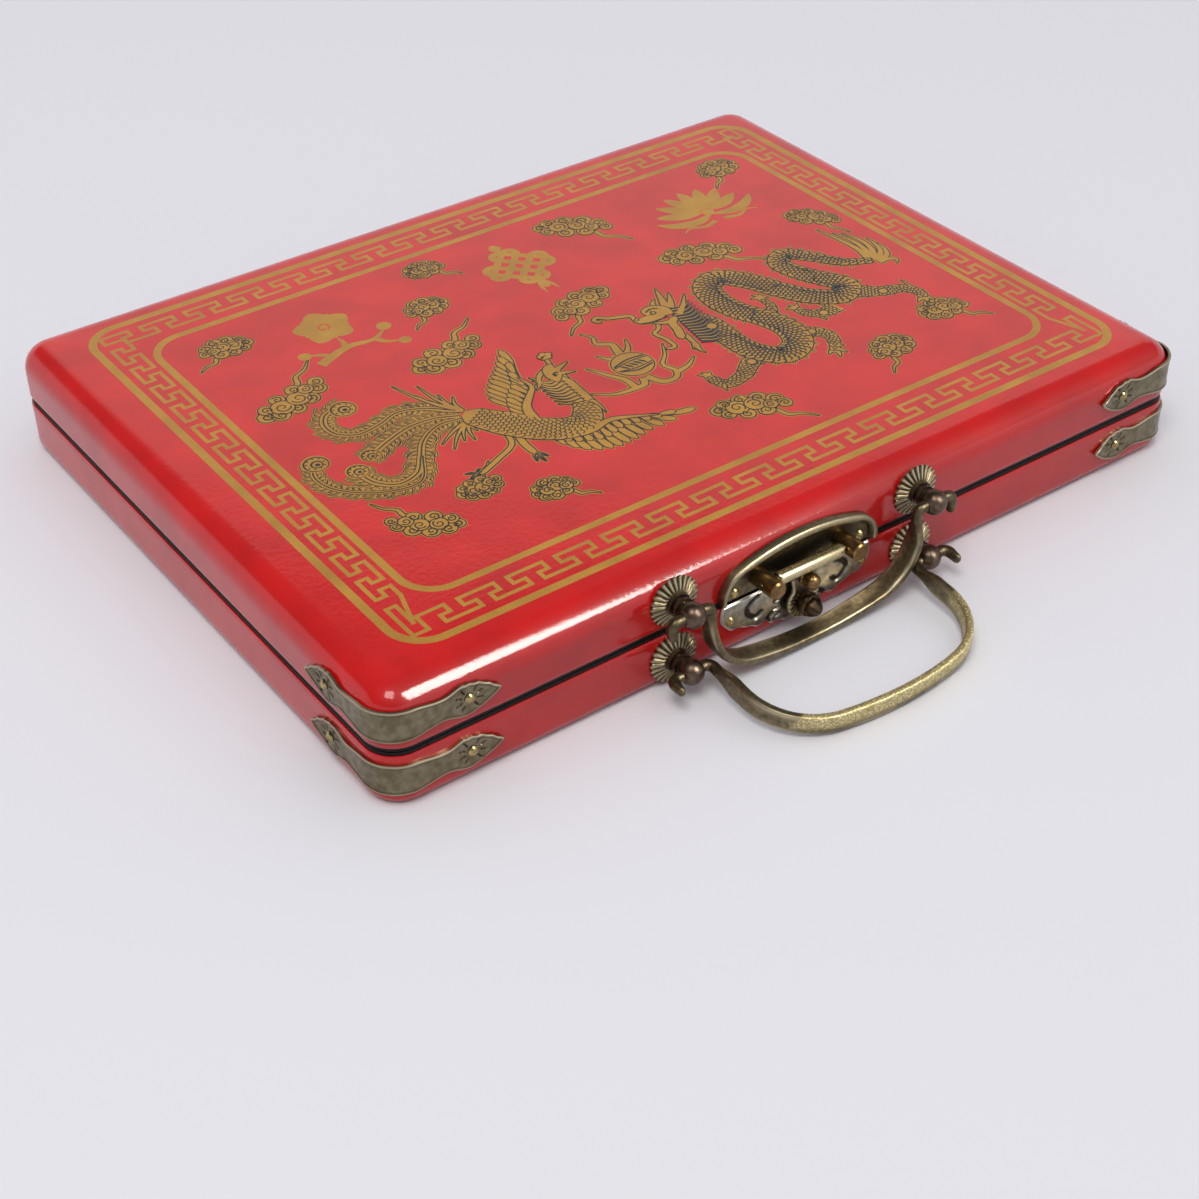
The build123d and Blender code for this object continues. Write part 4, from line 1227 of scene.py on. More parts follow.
def disc(sheet, centre, radius, level, ink, count=14):
    """A filled circle: a strip across it whose half width is the circle's half chord."""
    t = -np.cos(np.linspace(0, pi, count))
    line = np.stack([centre[0] + radius * t, np.full(count, centre[1])], -1)
    strips(sheet, line, np.sqrt(np.clip(radius**2 * (1 - t**2), 1e-4, None)), level, ink)


def bead(sheet, place, radius, gold_radius, level):
    """A dark disc with a gold one on it, at a place in drawing units."""
    disc(sheet, print_place(place), radius, level, DARK, 10)
    disc(sheet, print_place(place), gold_radius, level + 1, GOLD, 10)


def spiral(sheet, centre, radius, start, turns, level, half_width=0.16, flip=1):
    """A dark scroll: its radius falls evenly with its angle."""
    t = np.linspace(0, 1, 18)[:, None]
    angle = start + flip * 2 * pi * turns * t
    ray = np.concatenate([np.cos(angle), np.sin(angle)], -1)
    line = np.asarray(centre) + radius * (1 - 0.85 * t) * ray
    strips(sheet, line, half_width * (1 - 0.3 * t[:, 0]), level, DARK)


def scales(sheet, centre_line, half_widths, pitch, level, half_line=0.15):
    """Rows of open dark arcs across a band, each row shifted by half a scale."""
    reach = reaches(centre_line)
    at = np.arange(pitch * 0.5, reach[-1] - pitch * 0.3, pitch * 0.72)
    middle = places_at(centre_line, at)
    wide = np.interp(at, reach, half_widths)
    tangent = directions(middle)
    side = left_of(tangent)
    across = np.arange(-6, 7)[None] * pitch + (np.arange(len(at)) % 2)[:, None] * pitch / 2
    rows, columns = np.nonzero(np.abs(across) < wide[:, None] - 0.35 * pitch)
    place = middle[rows] + side[rows] * across[rows, columns][:, None]
    angle = np.radians(np.linspace(-80, 80, 7))[:, None]
    bow = pitch * 0.5
    curves = (
        place[:, None]
        + bow * 1.1 * np.cos(angle) * tangent[rows][:, None]
        + bow * np.sin(angle) * side[rows][:, None]
    )
    strips(sheet, curves, half_line, level, DARK)


# The two frame lines: half length, half depth, line width, corner radius.
frame_lines = ((107.5, 80.0, 2.2, 9.0), (96.1, 66.2, 2.0, 9.0))


def printed_frame():
    """Two rounded gold lines, each a closed loop of the ink's four-cornered section."""
    sheet = []
    for half_x, half_y, width, radius in frame_lines:
        corner = np.array([half_x - radius, half_y - radius])
        turns = [
            np.sign([cos(radians(turn + 45)), sin(radians(turn + 45))]) * corner
            + arc((0, 0), radius, turn, turn + 90, 14)
            for turn in (0, 90, 180, 270)
        ]
        line = np.concatenate(turns) + print_middle
        before, after = np.roll(line, 1, 0), np.roll(line, -1, 0)
        along = after - before
        along /= np.hypot(*along.T)[:, None]
        side = -left_of(along) * width / 2
        section = np.stack([line + side, line - side, line - side, line + side], 1)
        height = np.broadcast_to(
            np.array([ink_height(0)] * 2 + [ink_foot] * 2)[:, None], (len(line), 4, 1)
        )
        sheet.append((*closed_loop(np.concatenate([section, height], -1)), GOLD, None))
    return sheet


# The fret's corners in pitches along a side and band widths in from its outer edge: two kinds of
# start, the key that repeats, and two kinds of end. A spear points to the front corners.
fret_reach = (104.1, 76.1)
fret_depth = 5.3
fret_width = 1.05
lip = 0.48
hooked_start = [(0, 0), (0.3, 0), (0.3, 1), (0.85, 1), (0.85, lip), (0.65, lip), (0.65, 0)]
spear_start = [
    (0, 0), (1.0, 0), (1.0, 0.45), (0.36, 0.45), (1.25, 1), (1.75, 1), (1.75, lip), (1.55, lip),
    (1.55, 0),
]
key_foot = [(0.72, 0), (0.72, lip), (lip, lip), (lip, 1)]
key = key_foot + [(1.2, 1), (1.2, lip), (1.0, lip), (1.0, 0)]
plain_end = [(0.6, 0)]
spear_end = key_foot + [(0.86, 1), (1.75, 0.45), (1.1, 0.45), (1.1, 0), (2.1, 0)]
# front, right, back and left side: start, number of keys, end
fret_sides = (
    (hooked_start, 15, plain_end), (spear_start, 12, plain_end),
    (hooked_start, 15, plain_end), (hooked_start, 11, spear_end),
)


def key_fret():
    """The fret between the frames: one angular line of hooked keys along each side.

    Every run is a strip lengthened by half its width, so that corners are full.
    """
    sheet = []
    for turn, (start, keys, end) in enumerate(fret_sides):
        half_length, offset = fret_reach[turn % 2], fret_reach[1 - turn % 2]
        corners = list(start)
        for part in [key] * keys + [end]:
            reached = corners[-1][0]
            corners += [(reached + along, across) for along, across in part]
        corners = np.array(corners) * (2 * half_length / corners[-1][0], fret_depth)
        along, across = corners[:, 0] - half_length, offset - corners[:, 1]
        angle = radians(90 * turn)
        right = np.array([cos(angle), sin(angle)])
        down = np.array([sin(angle), -cos(angle)])
        line = along[:, None] * right + across[:, None] * down + print_middle
        runs = np.stack([line[:-1], line[1:]], 1)
        step = runs[:, 1] - runs[:, 0]
        step /= np.hypot(*step.T)[:, None]
        runs = runs + np.stack([-step, step], 1) * fret_width / 2
        flat = np.abs(step @ right) > 0.5
        strips(sheet, runs[flat], fret_width / 2, 0, GOLD)
        strips(sheet, runs[~flat], fret_width / 2, 1, GOLD)
    return sheet


# A cloud is a cluster of scrolls: (x, y, radius, spiral start in turns, direction) in units of
# the cloud's size, an outer row first, then a wind-blown tail.
cloud_lobes = [
    (-0.40, 0.00, 0.12, 0.10, 1), (-0.30, 0.17, 0.13, 0.40, -1), (-0.11, 0.27, 0.13, 0.20, 1),
    (0.11, 0.26, 0.13, 0.70, -1), (0.29, 0.15, 0.12, 0.00, 1), (0.38, -0.02, 0.10, 0.50, -1),
    (-0.31, -0.15, 0.11, 0.80, -1), (-0.10, -0.21, 0.12, 0.30, 1), (0.13, -0.17, 0.12, 0.60, -1),
    (-0.18, 0.03, 0.15, 0.90, 1), (0.04, 0.08, 0.15, 0.45, -1), (0.21, -0.01, 0.11, 0.15, 1),
]
cloud_tail = [(0.10, -0.16), (0.26, -0.25), (0.33, -0.40), (0.5, -0.44), (0.66, -0.58)]
# each cloud: drawing place, size in mm, turn in degrees, mirrored, stretched
clouds = [
    (314, 300, 14, 175, -1, 1.05), (783, 266, 12, -5, 1, 1.0), (703, 404, 13, 185, -1, 1.0),
    (1130, 300, 17, -32, 1, 1.4), (1537, 268, 14, 190, -1, 1.0), (328, 545, 17, 22, -1, 1.45),
    (644, 582, 17, 14, -1, 1.45), (955, 580, 16, 198, -1, 1.4), (1271, 562, 17, -20, 1, 1.45),
    (1555, 579, 13, -48, 1, 1.3), (312, 1040, 14, 142, 1, 1.4), (448, 1006, 12, 5, -1, 1.0),
    (550, 1093, 12, -5, 1, 1.0), (987, 1093, 16, -22, 1, 1.35), (1329, 1090, 14, 190, -1, 1.0),
    (1511, 1040, 14, -10, 1, 1.05),
]


def scroll_clouds():
    """Sixteen wind-blown clouds, each lobe a dark-edged disc with its own scroll."""
    sheet = []
    for u, v, size, turn, mirror, stretch in clouds:
        middle = print_place((u, v))
        angle = radians(turn)
        matrix = size * np.array([[cos(angle), -sin(angle)], [sin(angle), cos(angle)]]) @ np.diag(
            [stretch, mirror / sqrt(stretch)]
        )
        drawn(sheet, np.array(cloud_tail) @ matrix.T + middle, 0.045 * size, taper, 1, 16)
        heart = np.array([(-0.3, 0), (0, 0.04), (0.3, 0.02)]) @ matrix.T + middle
        brushed(sheet, smooth_curve(heart, 12), 0.17 * size, band, 1)
        for k, (x, y, radius, start, way) in enumerate(cloud_lobes):
            centre = matrix @ (x, y) + middle
            r = radius * size * (1.06 + 0.1 * sin(5 * k + u))
            disc(sheet, centre, r + 0.5, 0, GOLD)
            disc(sheet, centre, r + 0.32, 3 + 2 * k, DARK)
            disc(sheet, centre, r, 4 + 2 * k, GOLD)
            spiral(sheet, centre, r * 0.74, 2 * pi * start + angle, 1.3, 27, 0.2, way * mirror)
    return sheet


def plume(sheet, places, half_width, barb, level=1):
    """A long tail feather: hooked leaflets on both sides of a gold band with a dark quill."""
    line = traced(places, 60)
    at = np.arange(0.5, reaches(line)[-1], 1.55)
    middle = places_at(line, at)
    tangent = directions(middle)
    side = left_of(tangent)
    t = np.linspace(0, 1, 7)[None, :, None]
    long = barb * (1 + 0.22 * np.sin(2.4 * np.arange(len(at))))[:, None, None]
    shape = np.array([0.7, 0.95, 1.0, 1.0, 0.9, 0.7, 0.35])
    for hand in (-1, 1):
        root = (middle + hand * side * half_width * 0.35)[:, None]
        out = hand * side[:, None] * (1.25 * t - 0.35 * t**3)
        barbs = root + long * (out + tangent[:, None] * (0.25 * t + 0.75 * t**3))
        strips(sheet, barbs, 0.4 * shape + 0.42, 0, GOLD)
        strips(sheet, barbs, 0.4 * shape + 0.26, level, DARK)
        strips(sheet, barbs, 0.4 * shape, level + 1, GOLD)
        strips(sheet, barbs[:, 3:6], 0.11, level + 2, DARK)
    width = half_width * (0.5 + 0.2 * np.linspace(0, 1, 60))
    strips(sheet, line, width + 0.22, level + 3, DARK)
    strips(sheet, line, width, level + 4, GOLD)
    strips(sheet, line, 0.2, level + 5, DARK)


def plume_eye(sheet, place, radius, level=8):
    """The eye at a plume's end: a dark-edged disc with a ring of dots and a dark drop inside."""
    centre = print_place(place)
    for k, share in enumerate((1.12, 1.0, 0.88, 0.5, 0.36, 0.2)):
        ink = (GOLD, DARK)[k % 2]
        disc(sheet, centre + np.array([0.05, -0.12]) * k, radius * share, level + k, ink, 16)
    for angle in np.arange(9) * 2 * pi / 9:
        dot = centre + 0.7 * radius * np.array([cos(angle), sin(angle)])
        disc(sheet, dot, 0.26, level + 6, DARK, 8)


def wing(sheet, edge, tips, half_width, first_level, inner=0.45):
    """Flight feathers from a wing's leading edge to their tips, then a row of short coverts."""
    edge = traced(edge, len(tips))
    tips = print_place(tips)
    for k, (root, tip) in enumerate(zip(edge, tips)):
        bend = (tip - root)[::-1] * (0.06, -0.06)
        quill = [root, (root + tip) / 2 + bend, tip]
        drawn(sheet, quill, half_width, feather, first_level + 2 * (k % 5), 9)
    for k, (root, tip) in enumerate(zip(edge, tips)):
        short = [root, root + (tip - root) * inner]
        drawn(sheet, short, half_width * 0.95, feather, first_level + 10 + 2 * (k % 3), 7, False)


# The phoenix, in drawing units: its four plumes (line, half width, leaflet length) and their
# eyes, spikes from two roots, and the two feet with their claws.
phoenix_plumes = (
    ([(546, 766), (500, 722), (458, 706), (410, 722), (360, 726), (332, 700), (330, 660),
      (346, 634), (380, 622)], 1.3, 2.7),
    ([(542, 786), (500, 766), (452, 762), (400, 778), (352, 800)], 1.5, 3.0),
    ([(542, 796), (496, 790), (446, 818), (414, 862), (380, 904), (340, 912), (310, 884),
      (300, 840)], 1.4, 3.0),
    ([(420, 860), (370, 930), (310, 920), (262, 884), (238, 850), (232, 800), (250, 764)],
     1.0, 2.3),
)
phoenix_eyes = (((384, 634), 3.3), ((346, 802), 2.5), ((302, 832), 2.7), ((254, 766), 3.2))
phoenix_spikes = (
    ((556, 776), [(496, 622), (534, 650), (514, 676), (549, 700), (567, 722), (484, 694),
                  (506, 724), (540, 728)]),
    ((552, 806), [(476, 876), (505, 864), (522, 872), (541, 850), (466, 850), (490, 836)]),
)
phoenix_feet = (
    ((468, 976), [(448, 958), (444, 980), (454, 996), (474, 958)]),
    ((583, 978), [(572, 1000), (584, 1010), (596, 998)]),
)
lower_wing_edge = [(640, 950), (676, 970), (720, 984), (752, 966), (790, 982), (834, 1008)]
lower_wing_tips = [
    (650, 990), (656, 1010), (668, 1028), (684, 1040), (702, 1048), (720, 1052), (738, 1052),
    (756, 1050), (774, 1046), (794, 1042), (820, 1042), (850, 1040), (900, 1032),
]
upper_wing_edge = [(640, 860), (650, 836), (668, 812), (690, 790), (696, 760), (704, 722)]
upper_wing_tips = [
    (618, 770), (624, 752), (632, 738), (642, 726), (653, 714), (664, 703), (675, 692), (686, 682),
    (698, 668), (712, 652), (728, 632),
]
phoenix_body = [
    (552, 786), (574, 826), (604, 874), (640, 920), (682, 946), (716, 942), (742, 908), (754, 860),
    (760, 812), (766, 770),
]


def phoenix():
    """A phoenix in profile: scaled body, two fanned wings, plumed tail, crest and spikes.

    Levels rise from the plumes, feet and wings (1 to 17) to the body (19 to 22) and the head
    (21 to 26).
    """
    sheet = []
    for places, half, barb in phoenix_plumes:
        plume(sheet, places, half, barb)
    for place, radius in phoenix_eyes:
        plume_eye(sheet, place, radius)
    for root, tips in phoenix_spikes:
        for tip in tips:
            middle = (0.45 * root[0] + 0.55 * tip[0] - 6, 0.5 * (root[1] + tip[1]))
            sketched(sheet, [([root, middle, tip], 0.52, taper, 5, 10)])
    sketched(sheet, [
        ([(580, 880), (566, 926), (520, 952), (468, 976)], 0.6, band, 7, 14),
        ([(596, 890), (584, 940), (583, 978)], 0.85, band, 7, 14),
    ])
    for root, tips in phoenix_feet:
        for tip in tips:
            claw = [root, ((root[0] + tip[0]) / 2, (root[1] + tip[1]) / 2 - 5), tip]
            sketched(sheet, [(claw, 0.5, taper, 7, 7)])
            strips(sheet, traced(claw, 7), 0.22, 12, DARK)
    wing(sheet, lower_wing_edge, lower_wing_tips, 1.25, 2)
    wing(sheet, upper_wing_edge, upper_wing_tips, 1.2, 2)
    # each wing's arm lies over its feathers
    sketched(sheet, [
        ([(636, 930), (644, 880), (656, 838), (684, 806), (702, 786), (700, 740)],
         1.6, taper, 19, 20, False),
        ([(632, 928), (660, 962), (706, 976), (752, 968), (790, 984), (832, 1008)],
         1.5, taper, 19, 20, False),
    ])
    line = traced(phoenix_body, 60)
    width = np.interp(
        np.linspace(0, 1, 60), [0, 0.04, 0.2, 0.45, 0.62, 0.74, 0.88, 1],
        [1.2, 3.6, 4.9, 4.5, 3.6, 2.7, 2.0, 1.6],
    )
    outlined(sheet, line, width, 19, 20)
    scales(sheet, line[2:44], width[2:44], 1.5, 22, 0.16)
    # neck feathers on both sides, from the breast up to the throat
    for t in np.arange(9) / 8:
        x, y = 752 + 8 * t, 880 - 96 * t
        sketched(sheet, [
            ([(x, y), (x - 22, y - 2 + 10 * t), (x - 44, y - 14 - 16 * t)], 0.55, taper, 21, 9),
            ([(x + 4, y), (x + 14, y + 30), (x + 10, y + 62)], 0.45, taper, 21, 8),
        ])
    # head, two halves of the beak, crest feather and crest stalk
    sketched(sheet, [
        ([(752, 800), (760, 770), (766, 748), (776, 738)], 2.1, leaf, 23, 14),
        ([(772, 762), (788, 756), (806, 750)], 0.85, taper, 23, 8),
        ([(770, 776), (786, 782), (798, 788)], 0.7, taper, 23, 8),
        ([(766, 746), (736, 760), (714, 792), (704, 800)], 0.9, taper, 21, 12),
        ([(774, 742), (778, 726), (782, 714)], 0.5, band, 21, 7),
    ])
    for place in ((776, 704), (784, 698), (793, 704), (788, 712), (779, 711)):
        bead(sheet, place, 1.15, 0.8, 22)
    eye_line = traced([(758, 782), (764, 772), (772, 770)], 6)
    strips(sheet, eye_line, np.array([0.1, 0.5, 0.7, 0.7, 0.5, 0.1]), 25, DARK)
    disc(sheet, print_place((766, 774)), 0.32, 26, GOLD, 8)
    return sheet


pearl_flames = (
    ([(900, 800), (906, 772), (911, 750), (888, 728), (897, 704), (884, 680)], 1.15),
    ([(890, 800), (872, 786), (862, 768)], 0.8),
    ([(912, 796), (930, 776), (944, 748)], 0.8),
    ([(886, 886), (876, 906), (850, 908), (812, 902), (772, 872)], 0.95),
    ([(856, 906), (856, 872), (840, 838), (820, 794)], 0.95),
    ([(894, 886), (912, 922), (936, 924), (952, 902), (944, 872), (970, 842), (990, 806)], 1.0),
    ([(948, 908), (980, 902), (1010, 882)], 0.85),
)
pearl_radius = 5.3
# the pearl's bands: height over its middle, sag and half width
pearl_bands = ((2.2, 0.9, 0.28), (1.3, 0.6, 0.22), (-2.6, -1.2, 0.3), (-1.7, -0.7, 0.22))


def flaming_pearl():
    """A banded pearl with tongues of flame."""
    sheet = []
    sketched(sheet, [(places, half, taper, 1, 18) for places, half in pearl_flames])
    centre = print_place((900, 833))
    for k, (radius, ink) in enumerate(((6.1, GOLD), (5.75, DARK), (5.4, GOLD))):
        disc(sheet, centre, radius, 4 + k, ink, 24)
    for rise, bow, half in pearl_bands:
        reach = sqrt(pearl_radius**2 - rise**2)
        bowed = [(-reach, rise - bow), (0, rise + bow * 0.4), (reach, rise - bow * 0.2)]
        strips(sheet, smooth_curve(centre + bowed, 12), half, 8, DARK)
    for x in (-2.6, -1.2, 0.2, 1.6, 3.0):
        slanted = [(x - 0.8, 1.0), (x, -0.2), (x + 0.7, -1.4)]
        brushed(sheet, smooth_curve(centre + slanted, 7), 0.34, leaf, 8, DARK, 0.05)
    return sheet


# The dragon, in drawing units: its body, its legs (thigh to foot, half width, claws), and its
# tail fin.
dragon_body = [
    (1096, 748), (1112, 800), (1106, 870), (1114, 940), (1150, 984), (1196, 968),
    (1218, 912), (1206, 848), (1184, 792), (1178, 730), (1196, 678), (1232, 662),
    (1268, 704), (1302, 778), (1338, 842), (1386, 874), (1420, 850), (1400, 800),
    (1376, 740), (1372, 690), (1400, 668), (1440, 712), (1480, 770), (1530, 802),
]
dragon_legs = (
    ([(1128, 960), (1084, 966), (1040, 996), (996, 1000), (984, 962)], 2.1,
     [(972, 944), (984, 940), (998, 946), (984, 1020)]),
    ([(1206, 950), (1246, 948), (1264, 976), (1252, 1012), (1236, 1030)], 1.9,
     [(1218, 1036), (1230, 1056), (1250, 1050), (1262, 1026)]),
    ([(1350, 900), (1312, 906), (1288, 888), (1278, 862)], 1.8,
     [(1262, 852), (1274, 842), (1292, 846), (1300, 930)]),
    ([(1200, 852), (1232, 842), (1250, 812), (1248, 786)], 1.3,
     [(1232, 776), (1244, 764), (1258, 768), (1264, 790)]),
    ([(1420, 880), (1462, 912), (1500, 928), (1516, 962), (1508, 984)], 2.0,
     [(1488, 988), (1500, 1004), (1520, 1002), (1520, 900)]),
)
tail_fin = (
    [(1526, 800), (1538, 740), (1534, 690), (1526, 628)],
    [(1530, 800), (1550, 750), (1552, 706), (1542, 660)],
    [(1534, 802), (1560, 764), (1568, 720), (1556, 672)],
    [(1538, 806), (1570, 780), (1582, 746), (1584, 720)],
    [(1538, 810), (1570, 800), (1582, 780), (1588, 750)],
    [(1536, 814), (1560, 816), (1572, 826), (1562, 842)],
)
# horns, ear, brow, muzzle, jaw, beard and whiskers
dragon_head = [
    ([(1078, 700), (1090, 670), (1106, 624)], 1.2, taper, 22, 10),
    ([(1086, 704), (1100, 684), (1118, 652)], 1.0, taper, 22, 10),
    ([(1084, 734), (1110, 712), (1140, 676)], 0.9, taper, 22, 10),
    ([(1060, 686), (1066, 670), (1080, 656)], 0.9, taper, 22, 10),
    ([(1076, 724), (1060, 700), (1040, 690), (1030, 700)], 2.7, leaf, 24, 14),
    ([(1058, 722), (1032, 716), (1010, 712), (996, 702)], 1.8, leaf, 24, 12),
    ([(1072, 738), (1054, 752), (1046, 780), (1038, 800), (1032, 816)], 1.1, band, 24, 12),
    ([(1052, 748), (1036, 742), (1022, 732)], 0.8, taper, 24, 8),
    ([(998, 704), (1004, 684), (984, 672), (962, 662), (944, 646), (936, 652), (944, 668)],
     0.55, band, 22, 22),
    ([(1028, 738), (1018, 756), (1002, 764), (1006, 800), (1000, 832), (984, 828)],
     0.5, band, 22, 22),
]


def dragon():
    """A four-legged dragon in two loops: scaled body, dark mane, horns, whiskers and tail fin.

    Levels rise from the spikes and the tail fin (0 to 6) over the legs (9 to 13) to the body
    (13 to 21) and the mane and head (22 to 26).
    """
    sheet = []
    line = traced(dragon_body, 150)
    width = np.interp(
        np.linspace(0, 1, 150),
        [0, 0.05, 0.2, 0.45, 0.7, 0.85, 1], [2.2, 3.0, 3.9, 3.7, 3.6, 2.9, 1.2],
    )
    # spikes stand along the outer side of each loop
    tangent = directions(line)
    side = left_of(tangent)
    turning = np.gradient(np.unwrap(np.arctan2(tangent[:, 1], tangent[:, 0])))
    hand = -np.sign(np.convolve(turning, np.ones(15), "same"))
    picked = np.arange(10, 146, 2)
    root = line[picked] + side[picked] * (hand * width)[picked, None] * 0.9
    tip = root + side[picked] * hand[picked, None] * 1.9 - tangent[picked] * 0.7
    spikes = np.stack([root, (root + tip) / 2 + tangent[picked] * 0.15, tip], 1)
    strips(sheet, spikes, [1.0, 0.75, 0.4], 0, GOLD)
    strips(sheet, spikes, [0.72, 0.45, 0.14], 1, DARK)
    strips(sheet, spikes, [0.4, 0.2, 0.04], 2, GOLD)
    for places, half, claws in dragon_legs:
        limb = traced(places, 30)
        wide = half * np.interp(np.linspace(0, 1, 30), [0, 0.3, 0.8, 1], [1.5, 1.1, 0.75, 0.6])
        outlined(sheet, limb, wide, 9, 10)
        scales(sheet, limb, wide + 0.3, 1.25, 11, 0.2)
        foot = places[-1]
        for claw in claws:
            middle = (0.5 * (foot[0] + claw[0]) + 4, 0.5 * (foot[1] + claw[1]) - 4)
            sketched(sheet, [([foot, middle, claw], 0.75, taper, 9, 8)])
        bead(sheet, places[1], 1.5, 1.1, 12)
    # the body in four lengths, each over the one before where the loops cross
    for k in range(4):
        part = slice(max(k * 38 - 2, 0), min(k * 38 + 39, 150))
        outlined(sheet, line[part], width[part], 13 + k, 17 + k)
    scales(sheet, line, width + 0.2, 1.45, 21, 0.26)
    belly = line - side * (hand * width)[:, None] * 0.62
    strips(sheet, belly[8:144], 0.2, 21, DARK)
    sketched(sheet, [(places, 1.0, taper, 5, 14) for places in tail_fin])
    # mane: dark locks with gold between them
    for t in np.arange(13) / 12:
        root = (1074 - 18 * t, 712 + 130 * t)
        tip = (1134 + 2 * sin(5 * t) - 22 * t, 700 + 150 * t)
        place = print_place([root, ((root[0] + tip[0]) / 2, (root[1] + tip[1]) / 2 + 12), tip])
        brushed(sheet, smooth_curve(place, 10), 1.15, taper, 22, DARK, 0.1)
        brushed(sheet, smooth_curve(place + (0.3, 0.1), 10), 0.22, taper, 23)
    for t in np.arange(7) / 6:
        beard = [
            (1046 - 6 * t, 800 + 50 * t), (1044 - 10 * t, 830 + 40 * t),
            (1026 + 10 * t, 858 + 26 * t),
        ]
        sketched(sheet, [(beard, 0.6, taper, 20, 8)])
    sketched(sheet, dragon_head)
    # eye, nostril and the joint of the mane
    for place, radius, gold_radius, level in (
        ((1046, 700), 0.9, 0.5, 26), ((1004, 702), 0.8, 0.45, 26), ((1106, 812), 1.7, 1.3, 22)
    ):
        bead(sheet, place, radius, gold_radius, level)
    strips(sheet, traced([(1062, 728), (1040, 728), (1020, 726), (1004, 720)], 8), 0.22, 26, DARK)
    strips(sheet, traced([(1064, 690), (1048, 684), (1034, 690)], 8), 0.25, 26, DARK)
    return sheet


def blossom_spray():
    """Left ornament: a five-petalled plum blossom over two buds and a bent twig."""
    sheet = []
    centre = print_place((505, 345))
    for k in range(5):
        a = pi / 2 + 2 * pi * k / 5
        out = np.array([cos(a), sin(a)])
        petal = smooth_curve([centre + out * 1.6, centre + out * 5.0, centre + out * 8.2], 14)
        brushed(sheet, petal, 3.0, leaf, k % 3, GOLD, 0.2)
        stamen = np.array([cos(a + pi / 5), sin(a + pi / 5)])
        strips(sheet, [centre + stamen * 1.2, centre + stamen * 5.6], 0.3, 4, GOLD)
        disc(sheet, centre + stamen * 6.0, 0.75, 5, GOLD, 10)
    disc(sheet, centre, 1.1, 5, GOLD, 12)
    for places, half in (
        ([(430, 470), (470, 452), (505, 440), (560, 446), (600, 420)], 1.3),
        ([(500, 442), (506, 420), (505, 400)], 0.9),
        ([(560, 444), (576, 470), (600, 482)], 0.9),
        ([(464, 454), (446, 436), (424, 426)], 0.9),
    ):
        strips(sheet, traced(places, 18), half * (taper(np.linspace(0, 1, 18)) + 0.15), 6, GOLD)
    for place, radius in (((600, 414), 2.0), ((420, 424), 1.8), ((606, 486), 1.7)):
        disc(sheet, print_place(place), radius, 7, GOLD, 12)
    return sheet


def endless_knot():
    """Middle ornament: a knot of one band, woven over and under, with a loop at each corner."""
    sheet = []
    centre = print_place((945, 372))
    pitch, half = 4.0, 1.0
    reach = 1.5 * pitch
    for shift in (-1.5, -0.5, 0.5, 1.5):
        for way in (0, 1):
            along = np.array([1, 1 - 2 * way]) / sqrt(2)
            start = centre + left_of(along) * shift * pitch
            end = along * (reach + half)
            strips(sheet, [start - end, start + end], half, way, GOLD)
    for way in range(4):
        a = pi / 4 + way * pi / 2
        out, side = np.array([cos(a), sin(a)]), np.array([-sin(a), cos(a)])
        for s in (-1, 1):
            ring = centre + out * (reach + 0.4) + side * s * pitch
            loop = ring + arc((0, 0), pitch / 2, np.degrees(a) - 90, np.degrees(a) + 90, 14)
            strips(sheet, loop, half, 2, GOLD)
    for x in (-1, 1):
        tassel = centre + [(0, -10.5), (x * 1.3, -12.5), (x * 2.1, -16.5)]
        brushed(sheet, smooth_curve(tassel, 10), 0.9, taper, 3)
    for low, high in ((9.5, 14.0), (-14.0, -9.5)):
        strips(sheet, centre + [(0, low), (0, high)], 0.8, 3, GOLD)
    for y in (-11.8, 12.0):
        disc(sheet, centre + (0, y), 1.7, 4, GOLD, 12)
    return sheet


def lotus():
    """Right ornament: a lotus with seven petals over two curled leaves."""
    sheet = []
    heart = print_place((1395, 420))
    for k, a in enumerate(np.radians([20, 160, 45, 135, 68, 112, 90])):
        out = np.array([cos(a), sin(a)])
        length = 13.5 if 0 < k else 12.5
        tip = out * length + np.array([out[0] * 1.4, 0.8])
        waist = out * length * 0.55 + (0, -0.6)
        petal = smooth_curve([heart + out * 2.0, heart + waist, heart + tip], 16)
        brushed(sheet, petal, 1.95, leaf, k, GOLD, 0.1)
    for side in (-1, 1):
        curled = np.array([(0, -1.5), (6, -3.2), (12.5, -1.5), (16.5, 2.0)]) * (side, 1)
        brushed(sheet, smooth_curve(heart + curled, 20), 1.7, leaf, 8, GOLD, 0.1)
        ripple = np.array([(1.5, -5.5), (6, -6.6), (10.5, -5.0), (13.0, -6.4)]) * (side, 1)
        brushed(sheet, smooth_curve(heart + ripple, 18), 0.75, taper, 9, GOLD, 0.1)
    disc(sheet, heart, 1.9, 10, GOLD, 14)
    return sheet


for name, sheet in (
    ("frame_lines", printed_frame()),
    ("key_fret", key_fret()),
    ("clouds", scroll_clouds()),
    ("phoenix", phoenix()),
    ("flaming_pearl", flaming_pearl()),
    ("dragon", dragon()),
    ("blossom", blossom_spray()),
    ("endless_knot", endless_knot()),
    ("lotus", lotus()),
):
    make_piece(f"printed_{name}", "lid", sheet, [gold_ink, dark_ink])


# --- Pieces that keep their CAD shape -----------------------------------------
def one_each(piece):
    """The names of a piece that each half has once on each side."""
    return [f"{half}_{piece}_{side}" for half, _ in halves for side, _ in sides]


